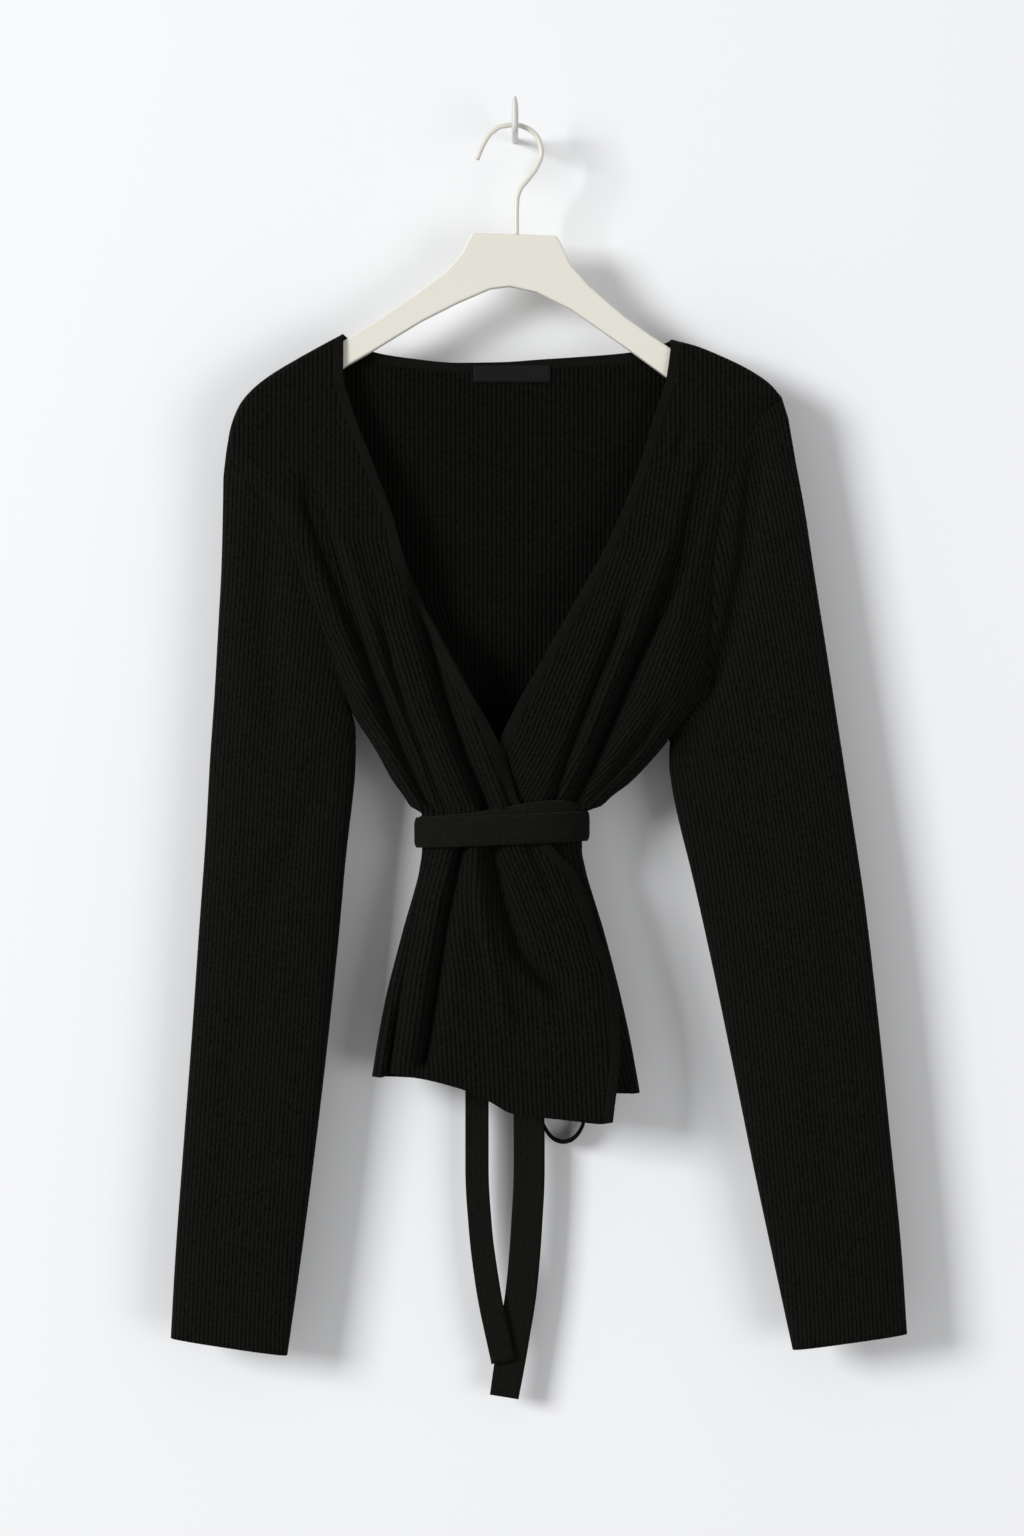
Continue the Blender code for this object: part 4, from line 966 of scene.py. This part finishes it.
# Where round the waist the first turn rides up out of the second, and how wide that is, in radians
LIFT_PLACE = 2.25
LIFT_SPREAD = 0.85
# How far the belt's edges roll in, and how sharply
BELT_ROLL = 1.4
ROLL_POWER = 6


def belt_turn(name, clear, lift, tilt, dents):
    line, n, angle = waist_outline(clear)
    peek = np.exp(-(((angle - LIFT_PLACE) / LIFT_SPREAD) ** 2))
    swing = np.where(angle < math.pi, 1.0, np.exp(-(((angle - math.pi) / LIFT_SPREAD) ** 2)))
    late = np.exp(-(((2 * math.pi - angle) / LIFT_SPREAD) ** 2))
    swing = np.where(angle > 1.5 * math.pi, late, swing)
    rise = lift * peek - tilt * np.cos(angle) * swing
    points = []
    for f in np.linspace(0.5, -0.5, BELT_ROWS_ACROSS):
        row = line.copy()
        row[:, 2] += rise + f * BELT_WIDTH
        dent = BELT_ROLL * (2 * f) ** ROLL_POWER * np.ones(len(angle))
        for where, width, depth, lean in dents:
            dent += depth * np.exp(-(((angle - where - lean * f) / width) ** 2))
        points.append(row - n * dent[:, None])
    way = np.repeat(n[None], BELT_ROWS_ACROSS, axis=0)
    return wall(name, np.array(points), way, BELT_THICK, "fine_knit_belt",
                grid_zone(STITCH, False, True), ring=True)


# Room under the first turn and the second
FIRST_ROOM = 1.0
SECOND_ROOM = 0.4
first_turn = KNIT / 2 + FIRST_ROOM + BELT_THICK / 2
second_turn = first_turn + SEAM_GAP + BELT_THICK + SECOND_ROOM
# Creases of the second turn: where round the waist, width, depth in, lean. Negative ones stand out.
DENTS = [
    (0.3, 0.09, 0.7, 0.35), (0.62, 0.12, -0.5, 0.25), (0.86, 0.1, 0.6, 0.5), (1.45, 0.14, 0.5, -0.5),
    (1.72, 0.1, -0.4, -0.4), (2.35, 0.12, 0.6, 0.5), (2.8, 0.1, 0.8, 0.3), (4, 0.2, 0.5, 0.3),
    (5.2, 0.2, 0.5, -0.3),
]
sheets["belt_first_turn"] = belt_turn("belt_first_turn_cloth", first_turn, 9.0, 1.5, [])
sheets["belt_second_turn"] = belt_turn("belt_second_turn_cloth", second_turn, 0.0, 2.4, DENTS)


STRAP_STEP = 0.08
STRAP_COLUMNS = 9
STRAP_CROWN = 0.5


# Strap along a path: x, y, z of its middle and its width. turned is the angle of the way across
# from x towards y, in degrees. The middle is bowed out now one way and now the other.
def strap(name, stations, turned):
    table = [(k, *s) for k, s in enumerate(stations)]
    places = filled(list(range(len(table))), STRAP_STEP)
    values = smooth(table, places)
    path = values[:, :3]
    width = values[:, 3]
    angle = math.radians(turned)
    along = unit(np.gradient(path, axis=0))
    across = np.array((math.cos(angle), math.sin(angle), 0.0))
    across = unit(across - along * np.sum(across * along, axis=1)[:, None])
    n = unit(np.cross(along, across))
    shares = np.linspace(-0.5, 0.5, STRAP_COLUMNS)
    crown = STRAP_CROWN * np.cos(shares * math.pi)
    points = path[:, None] + across[:, None] * (width[:, None] * shares[None])[..., None]
    points = points + n[:, None] * (crown[None] * np.sin(places * 0.9 + 1.0)[:, None])[..., None]
    way = np.repeat(n[:, None], len(shares), axis=1)
    return wall(name, points, way, BELT_THICK, "fine_knit_belt", grid_zone(STITCH, True))


# Faces between rings of points, as many rows as given
def ring_faces(rows, around, flip=False):
    faces = []
    for i in range(rows):
        for j in range(around):
            k = (j + 1) % around
            face = (i * around + j, (i + 1) * around + j, (i + 1) * around + k, i * around + k)
            faces.append((face[0], face[3], face[2], face[1]) if flip else face)
    return faces


# Middle and size of the knot
KNOT = (-4.5, 32.8, BELT_MID)
KNOT_SIZE = (36.0, 10.4, 23.0)
KNOT_FOOT = BELT_MID - KNOT_SIZE[2] / 2 - 3 * SEAM_GAP
TAIL_SHORT = [
    (-15, 33, KNOT_FOOT, 12), (-17.5, 28, -545, 15), (-22, 23, -610, 17.5), (-26.8, 20, -670, 16.5),
    (-26.8, 19, -730, 16.5), (-24.5, 18, -772, 16.5), (-19, 16, -815, 17), (-8.5, 15, -867, 16.5),
]
TAIL_LONG = [
    (-1.5, 33, KNOT_FOOT, 12), (0, 29, -530, 14), (3, 25, -560, 17), (6, 21.5, -600, 20),
    (9.8, 20, -660, 22), (10, 19.5, -730, 22), (8.2, 19.5, -772, 22), (4.7, 19.5, -815, 22),
    (-1.5, 19.5, -855, 22), (-7.6, 19.5, -892.5, 20.5),
]
sheets["belt_tail_short"] = strap("belt_tail_short_cloth", TAIL_SHORT, 0)
sheets["belt_tail_long"] = strap("belt_tail_long_cloth", TAIL_LONG, 0)

# Bow loop seen edge on: middle x, half the distance between its strands, z, width
LOOP = [
    (9, 2.5, KNOT_FOOT, 9), (15.5, 3.5, -530, 12), (22, 6, -560, 14), (28, 9.5, -600, 15),
    (31.5, 14, -650, 15), (34.2, 15.4, -692, 15),
]
LOOP_Y = 30.5
LOOP_DEEP = 21.5
LOOP_BEND = 10


def bow_loop():
    down = [(x - half, LOOP_Y, z, width) for x, half, z, width in LOOP]
    up_again = [(x + half, LOOP_Y, z, width) for x, half, z, width in LOOP[::-1]]
    x, half, z, width = LOOP[-1]
    bend = []
    for k in range(1, LOOP_BEND):
        angle = math.pi * k / LOOP_BEND
        bend.append((x - half * math.cos(angle), LOOP_Y, z - LOOP_DEEP * math.sin(angle), width))
    return strap("belt_bow_loop_cloth", down + bend + up_again, 90)


sheets["belt_bow_loop"] = bow_loop()


KNOT_ACROSS = 64
KNOT_DOWN = 40
# Below 1 the pad is squarer than an egg
KNOT_POWER = 0.55
# Grooves in the knot: depth, place across, lean, as shares of half its size, and their width
GROOVES = [(0.07, 0.0, 0.45), (0.06, -0.62, -0.2)]
GROOVE_WIDTH = 0.10
WELD_GAP = 0.02


# Knot: a soft pad whose upper layer of belt is wound round it, with grooves where it turns
def knot():
    points = []
    for i in range(KNOT_DOWN + 1):
        polar = math.pi * i / KNOT_DOWN
        for j in range(KNOT_ACROSS):
            turn = 2 * math.pi * j / KNOT_ACROSS
            level = math.sin(polar)
            p = np.array((level * math.cos(turn), level * math.sin(turn), math.cos(polar)))
            blocky = np.sign(p) * np.abs(p) ** KNOT_POWER
            groove = 0.0
            for depth, place, lean in GROOVES:
                far = (blocky[0] - place - lean * blocky[2]) / GROOVE_WIDTH
                groove += depth * math.exp(-(far**2))
            size = np.array(KNOT_SIZE) / 2 * np.array((1.0, 1.0 - groove * 3.0, 1.0 - groove))
            points.append(np.array(KNOT) + blocky * size)
    points = np.array(points)
    faces = ring_faces(KNOT_DOWN, KNOT_ACROSS)
    corners = np.array(faces)
    uvs = np.stack([points[:, 0][corners] / STITCH, points[:, 2][corners]], axis=-1)
    obj = add_piece("belt_knot_pad", points, faces, "fine_knit_belt", uvs)
    merge = obj.modifiers.new("poles", "WELD")
    merge.merge_threshold = WELD_GAP * MM
    return obj


knot_pad = knot()

# Neck label on the inside of the back: left and right x, upper and lower z
LABEL = (-29.4, 25.2, -167.5, -179.5)
LABEL_THICK = 0.6
LABEL_ROOM = 0.5
LABEL_STITCH = 0.5
# Row, reach and drop at which the back's distance is taken: away from its seams, folds and rounding
LABEL_ROW = 0.02
LABEL_REACH = 150.0
LABEL_DROP = 50.0
label_x, label_z = np.meshgrid(np.linspace(LABEL[0], LABEL[1], 28), np.linspace(LABEL[2], LABEL[3], 8))
label_y = stand_off("back", LABEL_ROW, label_x, label_z, LABEL_REACH, LABEL_DROP)
label_y = label_y - KNIT / 2 - LABEL_ROOM - LABEL_THICK / 2
label_points = np.stack([label_x, label_y, label_z], axis=-1)
label_way = np.broadcast_to(FORWARD, label_points.shape)
sheets["neck_label"] = wall("neck_label_cloth", label_points, label_way, LABEL_THICK, "woven_label",
                            grid_zone(LABEL_STITCH, True))

BAR_SIDES = 24


# Round bar along a smooth path
def bar(name, path, radius, slot_name, sideways):
    along = unit(np.gradient(path, axis=0))
    first = unit(np.cross(along, sideways))
    second = np.cross(along, first)
    angle = 2 * math.pi * np.arange(BAR_SIDES) / BAR_SIDES
    ring = np.cos(angle)[:, None] * first[:, None] + np.sin(angle)[:, None] * second[:, None]
    points = (path[:, None] + ring * radius[:, None, None]).reshape(-1, 3)
    faces = ring_faces(len(path) - 1, BAR_SIDES, flip=True)
    faces.append(tuple(range(BAR_SIDES))[::-1])
    faces.append(tuple(range(len(points) - BAR_SIDES, len(points))))
    return add_piece(name, points, faces, slot_name)


WIRE_RADIUS = 1.8
WIRE_STEPS = 120
PEG_STEPS = 64
# Middle of the hook wire from its tip to the hanger: share of the way, x, z
HOOK_WIRE = [
    (0, -26.7, -22.5), (0.06, -23, -13.5), (0.13, -17, -4.2), (0.21, -9, 0.8), (0.29, 0, WIRE_RADIUS),
    (0.37, 9.5, -1.2), (0.46, 16.5, -8.5), (0.54, 18.6, -18), (0.62, 14.8, -28.5), (0.7, 8.5, -37),
    (0.76, 3.6, -43.5), (0.81, 1.4, -50.5), (0.9, 1, -62), (1, 1, -75),
]
wire_x, wire_z = np.moveaxis(smooth(HOOK_WIRE, np.linspace(0, 1, WIRE_STEPS)), -1, 0)
wire_path = np.stack([wire_x, 0 * wire_x, wire_z], axis=-1)
wire_radius = np.full(WIRE_STEPS, WIRE_RADIUS)
hook_wire = bar("hanger_hook_wire", wire_path, wire_radius, "cream_wire", (0.0, 1.0, 0.0))

# Wall hook: a peg out of the wall under the wire, turned up in front of it: share, y, z, radius
PEG_RADIUS = 2.3
PEG_Z = -SEAM_GAP - PEG_RADIUS
WALL_HOOK = [
    (0, 40, PEG_Z, PEG_RADIUS), (1, 20, PEG_Z, PEG_RADIUS), (2, 0, PEG_Z, PEG_RADIUS),
    (3, -3.6, PEG_Z, PEG_RADIUS), (4, -5.8, PEG_Z + 1, PEG_RADIUS), (5, -6.8, PEG_Z + 3.4, PEG_RADIUS),
    (6, -7, 6, 2.4), (7, -7.2, 12, 2.2), (8, -7.4, 18, 1.5), (9, -7.4, 20.5, 0.7),
]
peg_y, peg_z, peg_radius = np.moveaxis(smooth(WALL_HOOK, np.linspace(0, 9, PEG_STEPS)), -1, 0)
peg_path = np.stack([0 * peg_y, peg_y, peg_z], axis=-1)
peg = bar("wall_hook_peg", peg_path, peg_radius, "white_hook", (1.0, 0.0, 0.0))

for node, piece in sheets.items():
    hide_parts(node)
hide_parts("belt_knot")
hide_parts("hanger_hook")
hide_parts("wall_hook")

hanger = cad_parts["hanger"]
hanger.data.materials.clear()
hanger.data.materials.append(mats["cream_hanger"])


# Wall behind, seen only from the front, so that views from behind show the back of the garment
def wall_paint():
    settings = {"Roughness": 0.9, "Base Color": (0.90, 0.908, 0.922, 1.0)}
    mat, nodes, links, shader = new_material("wall_paint", settings)
    clear = nodes.new("ShaderNodeBsdfTransparent")
    mix = nodes.new("ShaderNodeMixShader")
    facing = nodes.new("ShaderNodeNewGeometry")
    links.new(facing.outputs["Backfacing"], mix.inputs[0])
    links.new(shader.outputs[0], mix.inputs[1])
    links.new(clear.outputs[0], mix.inputs[2])
    links.new(mix.outputs[0], nodes["Material Output"].inputs["Surface"])
    return mat


WALL_HALF = 4
wall_corners = [(x * WALL_HALF, 0, z * WALL_HALF) for x, z in ((-1, -1), (1, -1), (1, 1), (-1, 1))]
backdrop_mesh = bpy.data.meshes.new("backdrop")
backdrop_mesh.from_pydata(wall_corners, [], [(0, 1, 2, 3)])
backdrop_mesh.materials.append(wall_paint())
backdrop = bpy.data.objects.new("backdrop", backdrop_mesh)
bpy.context.scene.collection.objects.link(backdrop)


TARGET = (0.0, -0.03, -0.45)
ROOM_LIGHT = 0.35


# Square white light turned to the garment. Places are in metres, power in watts.
def area_light(name, place, size, power):
    light = bpy.data.lights.new(name, "AREA")
    light.shape = "SQUARE"
    light.size = size
    light.energy = power
    obj = bpy.data.objects.new(name, light)
    bpy.context.scene.collection.objects.link(obj)
    obj.location = place
    away = Vector(place) - Vector(TARGET)
    obj.rotation_euler = away.to_track_quat("Z", "Y").to_euler()


area_light("window", (-5.3, -4.7, 1.2), 2.4, 415.0)
area_light("fill", (3.2, -4.2, -1.4), 2.6, 62.0)

world = bpy.data.worlds.new("room")
world.use_nodes = True
background = world.node_tree.nodes["Background"]
background.inputs["Color"].default_value = (1.0, 1.0, 1.0, 1.0)
background.inputs["Strength"].default_value = ROOM_LIGHT
bpy.context.scene.world = world

# Camera straight in front, level with the middle of the garment's height
CAMERA_PLACE = (-0.0021, -2.58, -0.4461)
camera_data = bpy.data.cameras.new("camera")
camera_data.lens = 85.0
camera_data.sensor_width = 36.0
camera_data.dof.use_dof = False
camera = bpy.data.objects.new("camera", camera_data)
bpy.context.scene.collection.objects.link(camera)
camera.location = CAMERA_PLACE
camera.rotation_euler = (math.radians(90), 0, 0)
bpy.context.scene.camera = camera
bpy.context.scene.view_settings.view_transform = "Standard"
